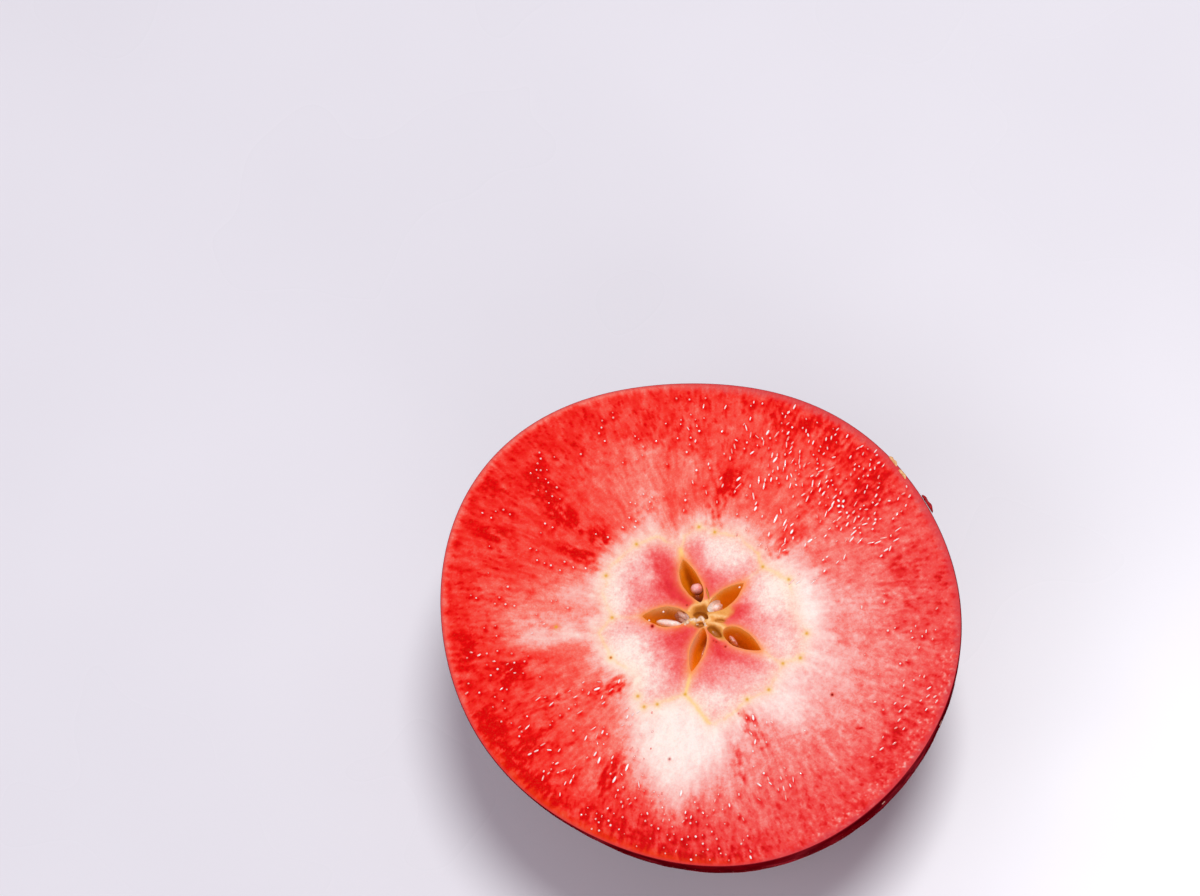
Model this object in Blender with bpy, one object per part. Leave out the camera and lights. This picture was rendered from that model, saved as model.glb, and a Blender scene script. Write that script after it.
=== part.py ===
"""Half of a red-fleshed apple, cut crosswise through the core.

It lies on its blossom end with the cut face up. Metres, +Z up. The origin is under the middle of the
half, on the surface that it rests on, and +Y is towards the upper seed chamber.
"""

import math

import bmesh
import bpy
from mathutils import Matrix, Vector

MM = 0.001

# The fruit
FACE_RADIUS = 37.2 * MM  # mean radius of the cut face, about the core's axis
HALF_HEIGHT = 36.0 * MM  # from the lowest point up to the cut face
EDGE_ROUND = 0.5 * MM  # the knife leaves the skin's edge slightly rounded
FACE_WAVES = (  # waves round the face, how far each pushes it out, and the direction of one crest
    (1, 1.08 * MM, 136.0),
    (2, 1.62 * MM, -33.0),
    (3, 0.52 * MM, 30.0),
    (4, 0.22 * MM, -43.0),
    (5, 0.24 * MM, -7.0),
)

# The blossom end, on which the half rests
LOBES = 5
LOBE_DIRECTION = 107.0  # degrees, one lobe under the upper seed chamber
LOBE_DROP = 1.7 * MM  # how far the crown rises between two lobes
RIB_DEPTH = 0.035  # share by which the lobes stand out low on the side
CROWN_RADIUS = 11.5 * MM
FLAT_SPOT = 0.25 * MM  # how much of each lobe is pressed flat
BASIN_DEPTH = 7.5 * MM
BASIN_FLOOR = 0.24  # share of the crown's radius
CONE = 0.86  # below 1 the side stays full before it turns in
FULLNESS = 1.12  # above 1 the side tapers sooner below the cut

# The dried sepals in the basin
SEPAL_LENGTH = 5.2 * MM
SEPAL_WIDTH = 2.6 * MM
SEPAL_THICKNESS = 0.8 * MM
SEPAL_RING = 2.0 * MM
SEPAL_ROOT = 1.0 * MM  # how far the foot goes into the fruit

# The seed chambers: inner end, outer tip, how far each side swells and where, and the depth, all in mm.
# The first side is the left one, seen from the inner end. A belly below 1 is nearer the inner end.
CHAMBERS = {
    "upper": ((-0.25, 2.4), (-2.7, 9.1), (1.50, 1.1), (1.20, 0.7), 6.0),
    "upper_right": ((0.8, 1.0), (6.1, 5.0), (1.25, 0.8), (1.25, 0.9), 5.5),
    "lower_right": ((3.0, -1.9), (8.4, -5.1), (1.45, 0.7), (1.30, 0.75), 6.5),
    "lower": ((0.15, -1.4), (-1.65, -7.9), (1.10, 0.8), (1.05, 1.0), 5.5),
    "left": ((-1.8, 0.1), (-8.7, 0.7), (1.40, 0.9), (1.35, 1.0), 6.0),
}
HOLLOWS = {  # the open middle of the core and the slits beside the chambers, given in the same way
    "middle": ((-1.35, 0.6), (0.85, -0.05), (0.95, 1.0), (0.30, 1.0), 2.6),
    "pit": ((-1.0, -0.85), (0.45, -0.75), (0.28, 1.2), (0.24, 1.0), 1.6),
    "pocket": ((0.75, -1.35), (2.8, -2.85), (0.70, 0.7), (0.55, 0.8), 2.2),
    "upper_slit": ((1.05, 2.8), (0.62, 4.7), (0.17, 1.0), (0.17, 1.0), 1.4),
    "right_slit": ((1.95, -0.35), (3.3, -0.55), (0.14, 1.0), (0.16, 1.0), 1.0),
}
CHAMBER_FULLNESS = 0.6  # below 1 the outline is rounder than a lens of two sine curves
CHAMBER_CLOSING = math.radians(84)  # the walls turn in by this much at the floor
CHAMBER_BARREL = 0.6  # below 1 the walls stay upright for longer before they turn in
CHAMBER_RETREAT = 0.45  # share by which the tip draws back to the axis at the floor

# The seeds that failed to fill: middle on the face plane, direction, length, width, height and top below the face
SEEDS = {
    "seed_upper": ((-0.98, 4.68), 112.0, 1.75, 1.50, 3.0, 0.6),
    "seed_left": ((-4.9, -0.22), 171.0, 3.9, 0.80, 2.8, 0.5),
    "seed_upper_right": ((1.95, 1.85), 40.0, 1.35, 1.10, 2.4, 0.7),
    "seed_lower_right": ((4.25, -3.05), -52.0, 1.75, 0.72, 3.2, 0.9),
}
SEED_TAPER = 0.35  # share by which a seed narrows towards its foot

# How finely the solids are divided
AROUND = 100
EDGE_STEPS = 2
SIDE_STEPS = 15
BASIN_STEPS = 9
CHAMBER_HALF = 9
CHAMBER_STEPS = 5
SEPAL_STEPS = 5
SEPAL_SIDES = 8
SEED_SEGMENTS = 16
SEED_RINGS = 9
SKIN_SMOOTH_ANGLE = math.radians(35)

FLESH, SKIN, LINING = range(3)


def material(name, colour, roughness):
    made = bpy.data.materials.new(name)
    made.use_nodes = True
    shader = made.node_tree.nodes["Principled BSDF"]
    shader.inputs["Base Color"].default_value = (*colour, 1.0)
    shader.inputs["Roughness"].default_value = roughness
    shader.inputs["Metallic"].default_value = 0.0
    made.diffuse_color = (*colour, 1.0)
    return made


def face_radius(angle):
    """Radius of the cut face in this direction, about the core's axis."""
    waves = (push * math.cos(count * (angle - math.radians(crest))) for count, push, crest in FACE_WAVES)
    return FACE_RADIUS + sum(waves)


def directions():
    return [2 * math.pi * i / AROUND for i in range(AROUND)]


def core_axis():
    """Where the core's axis stands, so that the middle of the half's outline is over the origin."""
    xs = [face_radius(a) * math.cos(a) for a in directions()]
    ys = [face_radius(a) * math.sin(a) for a in directions()]
    return Vector((-(min(xs) + max(xs)) / 2, -(min(ys) + max(ys)) / 2, 0))


def smooth(share):
    return share * share * (3 - 2 * share)


def lobe(angle):
    """1 on the crest of a lobe of the blossom end, and 0 between two."""
    return (1 + math.cos(LOBES * (angle - math.radians(LOBE_DIRECTION)))) / 2


def edge_station(turn):
    """The rounded edge: turn goes from 0 at the face to 1 at the side."""

    def place(angle):
        radius = face_radius(angle) - EDGE_ROUND * (1 - math.sin(turn * math.pi / 2))
        return radius, HALF_HEIGHT - EDGE_ROUND * (1 - math.cos(turn * math.pi / 2))

    return place


def crown(angle):
    """Radius and height of the crown, the ring round the basin."""
    radius = CROWN_RADIUS + (face_radius(angle) - FACE_RADIUS) / 3
    return radius, LOBE_DROP * (1 - lobe(angle)) - FLAT_SPOT


def side_station(turn):
    """The side: turn goes from 0 just below the edge to 1 at the crown."""

    def place(angle):
        inner, low = crown(angle)
        rib = 1 + RIB_DEPTH * smooth(turn) * (lobe(angle) - 0.5)
        across = math.cos(turn * math.pi / 2) ** CONE
        down = math.sin(turn * math.pi / 2) ** FULLNESS
        radius = (inner + (face_radius(angle) - inner) * across) * rib
        return radius, low + (HALF_HEIGHT - EDGE_ROUND - low) * (1 - down)

    return place


def basin_station(share):
    """The basin: share goes from 0 at the crown to 1 at the edge of its floor."""

    def place(angle):
        outer, low = crown(angle)
        rib = 1 + RIB_DEPTH * (1 - share) * (lobe(angle) - 0.5)
        radius = outer * rib * (1 - share * (1 - BASIN_FLOOR))
        return radius, low + (BASIN_DEPTH - low) * smooth(share)

    return place


def loft(name, rings, centre=Vector((0, 0, 0))):
    """A closed mesh through rings of points, each ring with the same count, with flat ends."""
    mesh = bmesh.new()
    levels = [[mesh.verts.new(Vector(point) + centre) for point in ring] for ring in rings]
    count = len(levels[0])
    for upper, lower in zip(levels, levels[1:]):
        for i in range(count):
            j = (i + 1) % count
            mesh.faces.new((upper[i], lower[i], lower[j], upper[j]))
    mesh.faces.new(levels[0])
    mesh.faces.new(reversed(levels[-1]))
    bmesh.ops.recalc_face_normals(mesh, faces=mesh.faces)
    data = bpy.data.meshes.new(name)
    mesh.to_mesh(data)
    mesh.free()
    return data


def add(name, data, collection=None):
    made = bpy.data.objects.new(name, data)
    (collection or bpy.context.scene.collection).objects.link(made)
    return made


def helpers(name, rings_by_name, centre, finish):
    """A collection of closed shapes that a Boolean joins to the fruit or cuts from it."""
    group = bpy.data.collections.new(name)
    bpy.context.scene.collection.children.link(group)
    for part, rings in rings_by_name.items():
        data = loft(f"{name}_{part}", rings, centre)
        data.materials.append(finish)
        made = add(data.name, data, group)
        made.hide_render = True
        made.display_type = "WIRE"
    return group


def swell(place, belly):
    """Share of a chamber's width at this place between its ends."""
    return math.sin(math.pi * place**belly) ** CHAMBER_FULLNESS if 0 < place < 1 else 0.0


def chamber_rings(start, tip, left_side, right_side, depth):
    """Outlines of a seed chamber from above the cut face down to its floor."""
    start = Vector(start) * MM
    along = Vector(tip) * MM - start
    leftward = Vector((-along.y, along.x)).normalized()
    there = [i / CHAMBER_HALF for i in range(CHAMBER_HALF + 1)]
    outline = [(place, 1, left_side) for place in there]
    outline += [(place, -1, right_side) for place in reversed(there[1:-1])]
    rings = []
    for step in range(-1, CHAMBER_STEPS + 1):
        share = max(step, 0) / CHAMBER_STEPS
        turn = share * CHAMBER_CLOSING
        height = HALF_HEIGHT - depth * MM * math.sin(turn) if step >= 0 else HALF_HEIGHT + MM
        open_share = math.cos(turn) ** CHAMBER_BARREL
        length = 1 - CHAMBER_RETREAT * share**2
        ring = []
        for place, side, (width, belly) in outline:
            point = start + along * place * length
            point += leftward * side * width * MM * swell(place, belly) * open_share
            ring.append((point.x, point.y, height))
        rings.append(ring)
    return rings


def sepal_rings(index):
    """Cross-sections of one dried sepal, from inside the basin's floor to its tip."""
    angle = math.radians(LOBE_DIRECTION) + 2 * math.pi * (index + 0.5) / LOBES
    out = Vector((math.cos(angle), math.sin(angle), 0))
    across = Vector((-math.sin(angle), math.cos(angle), 0))
    rings = []
    for step in range(SEPAL_STEPS + 1):
        share = step / SEPAL_STEPS
        reach = SEPAL_LENGTH * share - SEPAL_ROOT
        lean = SEPAL_RING * (1 - 0.75 * share**2)
        middle = out * lean + Vector((0, 0, BASIN_DEPTH - reach))
        width = SEPAL_WIDTH / 2 * (1 - 0.85 * share**1.5)
        thickness = SEPAL_THICKNESS / 2 * (1 - 0.6 * share)
        turns = [2 * math.pi * i / SEPAL_SIDES for i in range(SEPAL_SIDES)]
        rings.append([middle + across * width * math.cos(t) + out * thickness * math.sin(t) for t in turns])
    return rings


def paint(data):
    """Flesh on the cut face, and skin on the rest."""
    for face in data.polygons:
        cut = face.normal.z > 0.99 and face.center.z > HALF_HEIGHT - EDGE_ROUND
        face.material_index = FLESH if cut else SKIN


def apply_modifiers(made):
    graph = bpy.context.evaluated_depsgraph_get()
    data = bpy.data.meshes.new_from_object(made.evaluated_get(graph))
    made.modifiers.clear()
    made.data = data


def boolean(made, operation, group):
    modifier = made.modifiers.new(operation.lower(), "BOOLEAN")
    modifier.operation = operation
    modifier.operand_type = "COLLECTION"
    modifier.collection = group
    modifier.solver = "EXACT"


def apple_half(axis, finishes):
    """The fruit: one solid with the skin, the flesh, the seed chambers and the dried sepals."""
    stations = [edge_station(i / EDGE_STEPS) for i in range(EDGE_STEPS)]
    stations += [side_station(i / SIDE_STEPS) for i in range(SIDE_STEPS)]
    stations += [basin_station(i / BASIN_STEPS) for i in range(BASIN_STEPS + 1)]
    rings = []
    for station in stations:
        ring = []
        for angle in directions():
            radius, height = station(angle)
            ring.append((radius * math.cos(angle), radius * math.sin(angle), max(height, 0.0)))
        rings.append(ring)
    data = loft("apple_half", rings, axis)
    for finish in finishes:
        data.materials.append(finish)
    paint(data)
    made = add("apple_half", data)
    sepals = helpers("sepals", {str(i): sepal_rings(i) for i in range(LOBES)}, axis, finishes[SKIN])
    boolean(made, "UNION", sepals)
    apply_modifiers(made)
    for helper in list(sepals.objects):
        bpy.data.objects.remove(helper)
    bpy.data.collections.remove(sepals)
    cuts = {name: chamber_rings(*sizes) for name, sizes in {**CHAMBERS, **HOLLOWS}.items()}
    boolean(made, "DIFFERENCE", helpers("core", cuts, axis, finishes[LINING]))
    apply_modifiers(made)
    made.data.shade_smooth()
    made.data.set_sharp_from_angle(angle=SKIN_SMOOTH_ANGLE)
    return made


def seed(name, axis, place, direction, length, width, height, below):
    """One small seed, standing in its chamber."""
    mesh = bmesh.new()
    bmesh.ops.create_uvsphere(mesh, u_segments=SEED_SEGMENTS, v_segments=SEED_RINGS, radius=0.5)
    for vertex in mesh.verts:
        narrow = 1 - SEED_TAPER * (0.5 - vertex.co.z) ** 2
        vertex.co.x *= length * MM * narrow
        vertex.co.y *= width * MM * narrow
        vertex.co.z *= height * MM
    bmesh.ops.rotate(mesh, verts=mesh.verts, matrix=Matrix.Rotation(math.radians(direction), 3, "Z"))
    data = bpy.data.meshes.new(name)
    mesh.to_mesh(data)
    mesh.free()
    data.shade_smooth()
    made = add(name, data)
    middle = HALF_HEIGHT - (below + height / 2) * MM
    made.location = axis + Vector((place[0] * MM, place[1] * MM, middle))
    return made


def main():
    for old in list(bpy.data.objects):
        bpy.data.objects.remove(old)
    flesh = material("red_flesh", (0.80, 0.10, 0.08), 0.35)
    skin = material("dark_red_skin", (0.16, 0.012, 0.022), 0.25)
    lining = material("amber_core_lining", (0.50, 0.18, 0.03), 0.3)
    seed_coat = material("pale_seed_coat", (0.78, 0.50, 0.46), 0.35)
    axis = core_axis()
    apple_half(axis, (flesh, skin, lining))
    for name, sizes in SEEDS.items():
        seed(name, axis, *sizes).data.materials.append(seed_coat)


main()
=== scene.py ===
"""The looks of the apple half: moist red flesh, the open core, and dark speckled skin."""

import math
import random

import bmesh
import bpy
import numpy as np
from mathutils import Matrix, Vector, kdtree, noise
from mathutils.geometry import delaunay_2d_cdt


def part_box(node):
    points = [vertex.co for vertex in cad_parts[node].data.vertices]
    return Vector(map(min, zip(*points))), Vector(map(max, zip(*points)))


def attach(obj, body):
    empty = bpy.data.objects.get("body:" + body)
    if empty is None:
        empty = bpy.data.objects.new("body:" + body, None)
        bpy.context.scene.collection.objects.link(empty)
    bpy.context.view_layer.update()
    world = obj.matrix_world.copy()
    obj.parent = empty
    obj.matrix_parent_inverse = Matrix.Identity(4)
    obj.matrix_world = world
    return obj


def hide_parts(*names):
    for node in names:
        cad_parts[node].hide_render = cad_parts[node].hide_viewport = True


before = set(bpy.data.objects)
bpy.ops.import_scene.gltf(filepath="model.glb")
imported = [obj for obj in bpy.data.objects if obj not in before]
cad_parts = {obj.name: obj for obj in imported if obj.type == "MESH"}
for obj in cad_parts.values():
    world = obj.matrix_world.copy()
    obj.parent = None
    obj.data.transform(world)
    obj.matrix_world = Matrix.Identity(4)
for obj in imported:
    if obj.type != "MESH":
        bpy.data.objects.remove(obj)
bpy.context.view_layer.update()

MM = 0.001

# The solid's own sizes, in millimetres and degrees, on the core's axis
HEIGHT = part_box("apple_half")[1][2] / MM
FACE_RADIUS = 37.2  # mean radius of the cut
EDGE_ROUND = 0.5
# Waves round the cut, how far each pushes it out, and the direction of one crest
FACE_WAVES = ((1, 1.08, 136.0), (2, 1.62, -33.0), (3, 0.52, 30.0), (4, 0.22, -43.0), (5, 0.24, -7.0))
LOBES = 5
LOBE_DIRECTION = 107.0
LOBE_DROP = 1.7  # how far the crown rises between two lobes
RIB_DEPTH = 0.035  # share by which the lobes stand out low on the side
CROWN_RADIUS = 11.5
FLAT_SPOT = 0.25  # how much of each lobe is pressed flat
BASIN_DEPTH = 7.5
BASIN_FLOOR = 0.24  # share of the crown's radius
CONE = 0.86  # below 1 the side stays full before it turns in
FULLNESS = 1.12  # above 1 the side tapers sooner below the cut
SEPAL_LENGTH = 5.2
SEPAL_WIDTH = 2.6
SEPAL_THICKNESS = 0.8
SEPAL_RING = 2.0
SEPAL_ROOT = 1.0  # how far the foot goes into the fruit

# The seed chambers and the hollows beside them: inner end, outer tip, swell and belly of each side, and
# depth. The left chamber is a little wider here than in the solid, the hollows are shallower, and the
# chambers' tips are sharper.
CHAMBERS = {
    "upper": ((-0.25, 2.4), (-2.7, 9.1), (1.50, 1.1), (1.20, 0.7), 6.0),
    "upper_right": ((0.8, 1.0), (6.1, 5.0), (1.25, 0.8), (1.25, 0.9), 5.5),
    "lower_right": ((3.0, -1.9), (8.4, -5.1), (1.45, 0.7), (1.30, 0.75), 6.5),
    "lower": ((0.15, -1.4), (-1.65, -7.9), (1.10, 0.8), (1.05, 1.0), 5.5),
    "left": ((-1.8, 0.1), (-8.7, 0.7), (1.45, 0.9), (1.62, 0.85), 6.0),
}
HOLLOWS = {
    "middle": ((-1.35, 0.6), (0.85, -0.05), (0.95, 1.0), (0.30, 1.0), 1.5),
    "pit": ((-1.0, -0.85), (0.45, -0.75), (0.28, 1.2), (0.24, 1.0), 0.8),
    "pocket": ((0.75, -1.35), (2.8, -2.85), (0.70, 0.7), (0.55, 0.8), 1.3),
    "upper_slit": ((1.05, 2.8), (0.62, 4.7), (0.17, 1.0), (0.17, 1.0), 0.35),
    "right_slit": ((1.95, -0.35), (3.3, -0.55), (0.14, 1.0), (0.16, 1.0), 0.35),
}
CHAMBER_FULLNESS = 0.76  # below 1 the outline is rounder than a lens of two sine curves
HOLLOW_FULLNESS = 0.6
CHAMBER_CLOSING = math.radians(84)  # the walls turn in by this much at the floor
CHAMBER_BARREL = 0.6  # below 1 the walls stay upright for longer before they turn in
CHAMBER_RETREAT = 0.45  # share by which the tip draws back to the axis at the floor
# The seeds, which fill their chambers a little more than their solids do: place, direction, length, width,
# height, and how far the top lies below the cut
SEEDS = {
    "seed_upper": ((-0.88, 4.95), 8.0, 1.98, 1.60, 3.0, 0.6),
    "seed_left": ((-4.85, -0.26), 169.0, 4.4, 1.30, 2.8, 0.5),
    "seed_upper_right": ((1.95, 1.85), 40.0, 1.50, 1.25, 2.4, 0.7),
    "seed_lower_right": ((4.25, -3.05), -52.0, 1.90, 0.80, 3.2, 0.9),
}
SEED_TAPER = 0.35  # share by which a seed narrows towards its foot

# The cut
FACE_DROP = 0.20  # the flesh lies this much below the solid's top, which leaves room for the juice on it
SKIN_THICKNESS = 0.14
SKIN_INSET = 0.02  # the skin lies this far inside the solid's side
FACE_POINTS = 88000  # points laid over the cut
CROWDING = 0.57  # 0.5 spreads the points evenly over the cut, and more crowds them in the core
RIM_POINTS = 560  # points round its edge, and round each row of the skin
SPECK_RINGS = (0.1, 0.2, 0.3, 0.42)  # extra points of the cut lie this far from each vein and speck
SKIN_ROWS = (("edge", 4), ("side", 130), ("basin", 30))
CORE_REACH = 12.0  # every chamber and hollow ends nearer to the core's axis than this
STREAK_SECTORS = 16  # the streaks are laid in this many overlapping sectors

# The pale dots on the skin: how many, and how far out and how high the rings of points on one lie
LENTICELS = 1500
LENTICEL_TRIES = 16000
LARGE_LENTICEL = ((0.0, 0.00), (0.30, 0.01), (0.55, 0.05), (0.8, 0.05), (1.0, -0.06))
SMALL_LENTICEL = ((0.0, 0.03), (1.0, -0.06))

# The line round the core, through the points where it bends, and the veins that cross the cut on or near it
CORE_LINE = (
    (-13.1, 0.7), (-14.5, 4.5), (-13.5, 8.5), (-9.5, 11.7), (-6.5, 12.8), (-3.0, 10.7), (-2.5, 12.5),
    (-0.3, 13.9), (2.0, 13.0), (5.4, 12.2), (8.3, 9.5), (8.9, 7.4), (11.2, 6.3), (12.6, 5.3), (13.5, 0.0),
    (15.0, -2.9), (14.0, -6.5), (11.5, -7.2), (9.4, -11.0), (6.3, -12.3), (4.0, -14.5), (1.0, -15.8),
    (-1.0, -12.5), (-2.6, -11.2), (-6.6, -12.5), (-8.5, -12.8), (-9.5, -11.0), (-9.8, -8.0),
    (-13.3, -5.3), (-15.0, -1.5),
)
VEINS = (
    (-13.1, 0.7), (-13.3, -5.3), (-9.5, 11.7), (-0.3, 13.9), (2.0, 13.0), (8.9, 7.4), (12.6, 5.3),
    (15.0, -2.9), (14.0, -6.5), (11.5, -7.2), (9.4, -11.0), (6.3, -12.3), (-2.6, -11.2),
    (-6.6, -12.5), (-8.5, -12.8), (-9.4, -11.2), (-14.0, 7.1), (-21.3, -0.35),
)
# Golden lines from the chambers' tips out to the core line, and the clearest stretches of that line
SUTURES = (
    ((-2.75, 9.2), (-3.0, 10.7), 0.8),
    ((-1.7, -8.0), (-2.6, -11.2), 0.7),
    ((-8.8, 0.7), (-13.1, 0.7), 0.2),
    ((6.2, 5.1), (8.9, 7.4), 0.2),
    ((8.5, -5.2), (11.5, -7.2), 0.3),
    ((-2.6, -11.2), (0.9, -15.6), 0.6),
    ((-2.6, -11.2), (-6.6, -12.4), 0.35),
    ((8.2, 9.7), (8.9, 7.4), 0.45),
    ((8.9, 7.4), (12.6, 5.3), 0.4),
    ((11.5, -7.2), (14.6, -6.0), 0.35),
    ((-3.0, 10.7), (-2.4, 12.6), 0.35),
)

# How red the flesh is, from 0 for cream to 1 for deep red: a few millimetres outside the core and under the
# skin. Each is a middle value, what it gains in its reddest direction, and that direction.
MID_RED = (0.53, 0.16, 140.0)
RIM_RED = (0.73, 0.09, 175.0)

# Pale and deep patches of the flesh: middle, half-length, half-width, direction of the length, strength
PALE = (
    (-3.8, -18.0, 8.1, 7.1, 97, 0.93),  # the wide white petal below the core
    (-4.8, -27.0, 4.6, 2.6, 95, 0.34),
    (13.6, 1.4, 4.8, 3.8, 80, 0.84),
    (15.6, -7.2, 6.5, 4.2, -25, 0.22),
    (11.8, -13.2, 4.4, 2.8, -45, 0.62),
    (20.5, -13.5, 7.0, 3.4, -40, 0.12),
    (22.5, 1.5, 5.5, 2.4, 5, 0.16),
    (12.4, 7.6, 3.6, 2.2, 30, 0.42),
    (-7.2, 16.4, 3.8, 2.2, 110, 0.36),
    (-10.0, 22.4, 7.6, 7.0, 105, 0.20),
    (-7.6, 24.0, 3.8, 3.4, 100, 0.17),
    (-2.4, 21.4, 5.0, 2.2, 85, 0.10),
    (-0.8, 26.0, 5.0, 1.2, 88, 0.12),
    (-21.8, 1.6, 8.5, 4.2, 4, 0.42),
    (-31.0, 4.6, 7.5, 4.6, 95, 0.15),
    (-22.0, -1.9, 6.0, 1.4, 6, 0.50),  # the white stripe to the left
    (-18.5, 5.6, 6.0, 2.6, 165, 0.24),
    (-19.0, -9.5, 5.0, 1.6, 210, 0.16),
)
DEEP = (
    (-20.3, 16.8, 3.6, 1.2, 140, 0.42),
    (-14.6, 13.2, 1.7, 1.2, 130, 0.34),
    (-17.8, 10.6, 3.4, 1.2, 150, 0.20),
    (-23.5, 21.2, 2.6, 1.5, 140, 0.26),
    (-31.0, 14.0, 2.4, 1.4, 160, 0.16),
    (4.4, 20.8, 2.3, 1.8, 30, 0.36),
    (2.6, 17.6, 2.2, 1.2, 75, 0.10),
    (1.5, 15.8, 2.2, 1.2, 90, 0.10),
    (12.6, 11.6, 3.6, 1.6, 40, 0.12),
    (17.5, 18.5, 4.6, 2.0, 45, 0.08),
    (24.2, 18.4, 5.0, 3.4, 50, 0.16),
    (19.5, 26.5, 5.6, 2.2, 128, 0.14),
    (14.0, 30.0, 6.0, 2.6, 155, 0.10),
    (29.0, 6.0, 5.0, 3.0, 80, 0.08),
    (-28.2, -7.0, 1.5, 1.9, 80, 0.40),
    (-34.2, -3.6, 2.6, 1.3, 100, 0.24),
    (-30.6, -15.5, 3.2, 1.9, 120, 0.34),
    (-28.2, -19.8, 2.2, 1.8, 140, 0.40),
    (-23.8, -24.2, 3.6, 1.6, 140, 0.32),
    (-24.5, -18.0, 3.4, 1.6, 40, 0.16),
    (-22.0, -11.0, 3.6, 1.0, 210, 0.14),
    (-13.0, -9.6, 2.0, 1.3, 40, 0.30),
    (-13.5, -22.5, 3.4, 1.6, 60, 0.20),
    (-16.0, -28.5, 4.0, 2.0, 150, 0.14),
    (-9.0, -31.5, 6.0, 1.8, 170, 0.16),
    (4.5, -34.6, 7.0, 1.2, 3, 0.10),
    (-5.0, -34.8, 5.0, 1.0, 175, 0.28),
    (6.9, -16.4, 3.4, 0.9, -62, 0.24),
    (4.9, -21.5, 3.6, 0.8, -85, 0.16),
    (22.4, -17.0, 0.5, 0.22, 25, 0.5),
    (27.5, -18.5, 6.0, 3.0, 55, 0.09),
)
# The blush of the core fades from its middle to the core line, and these patches add to it or take from it
CORE_BLUSH = (0.50, 9.6, 0.18)
ROSE = (
    (-5.6, 8.2, 3.2, 1.9, 120, 0.38),
    (-3.9, 4.2, 3.4, 1.3, 150, 0.27),
    (-9.0, 4.6, 3.6, 2.2, 155, 0.10),
    (-7.2, 6.2, 1.8, 1.0, 20, -0.12),
    (-0.7, 10.2, 1.8, 1.5, 90, 0.20),
    (0.9, 6.6, 2.4, 1.5, 95, 0.10),
    (4.8, 0.8, 2.8, 1.1, 15, 0.22),
    (2.4, -4.6, 2.4, 1.4, -50, 0.20),
    (6.4, -6.6, 3.0, 1.1, -25, 0.14),
    (-3.5, -2.8, 2.4, 1.5, 60, 0.16),
    (-3.2, -7.4, 2.0, 1.3, 75, 0.14),
    (0.6, -8.6, 1.8, 1.3, -70, 0.08),
    (3.2, 9.4, 3.6, 2.8, 170, -0.24),
    (10.0, 3.4, 3.8, 3.2, 30, -0.28),
    (10.2, -4.4, 3.4, 2.4, -30, -0.10),
    (-10.4, -6.4, 4.2, 3.6, 130, -0.28),
    (-9.4, -2.4, 2.6, 1.4, 10, -0.10),
    (0.6, -12.2, 4.0, 1.8, 0, -0.14),
    (-12.6, 4.6, 1.8, 4.2, 0, -0.16),
)
SPECKS = (  # dark specks on the cut: place, size, and how dark
    (-7.25, -0.85, 0.22, 1.0),
    (18.4, -12.1, 0.20, 1.0),
    (-4.9, -20.6, 0.17, 0.6),
    (-2.2, 2.12, 0.18, 0.55),
    (-13.3, -5.3, 0.11, 0.6),
    (2.0, -3.6, 0.17, 0.45),
    (3.3, -4.35, 0.16, 0.7),
    (1.6, -3.4, 0.12, 0.5),
    (-10.9, -0.9, 0.14, 0.25),
)

CORE_MIDDLE = (  # the golden middle of the core
    (0.8, 0.75, 3.3, 2.0, 8, 1.0),
    (2.35, -1.75, 1.9, 1.1, -48, 1.0),
)
RIDGES = (  # its folds, between the hollows
    ((0.25, 3.6), (0.60, 2.6), (0.95, 1.4), (0.95, 0.2), (0.95, -0.5)),
    ((-1.9, 1.2), (-1.4, 1.9), (-0.4, 2.3), (0.3, 2.4)),
    ((1.0, 0.4), (2.0, 0.35), (3.4, 0.0)),
    ((0.95, -0.6), (2.2, -0.85), (3.0, -1.5)),
    ((-1.9, -0.2), (-1.3, -0.3)),
    ((0.2, -1.25), (0.75, -1.15)),
    ((1.25, 2.3), (1.05, 3.4), (0.5, 5.0)),
    ((0.7, -1.6), (1.4, -2.9), (2.6, -3.3)),
)
SUNK = (  # and where it dips towards them, where the olive middle is also painted darker as shade
    (-0.15, 1.05, 1.15, 0.95, 35, 1.0),
    (1.75, -1.95, 1.30, 0.60, -47, 1.0),
    (-0.35, -1.0, 0.75, 0.36, 0, 0.9),
    (2.6, -0.42, 0.85, 0.24, -5, 0.8),
    (0.80, 3.8, 0.9, 0.22, 105, 0.6),
)
# Patches on the walls of the chambers. The first pale one is painted light on the lit side of the lower
# chamber, and the second is the real pale edge of the left chamber's wall. The maroon ones are painted shade
# deep in the upper chamber, below its seed and along one wall
PALE_AND_LIT_WALLS = ((-1.5, -4.3, 3.0, 0.75, 76, 0.9), (-5.2, 1.6, 2.4, 0.6, 5, 0.5))
MAROON_SHADE_WALLS = ((-0.6, 3.4, 1.5, 1.0, 110, 0.85), (-2.1, 6.4, 2.4, 0.4, 108, 0.45))

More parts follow.
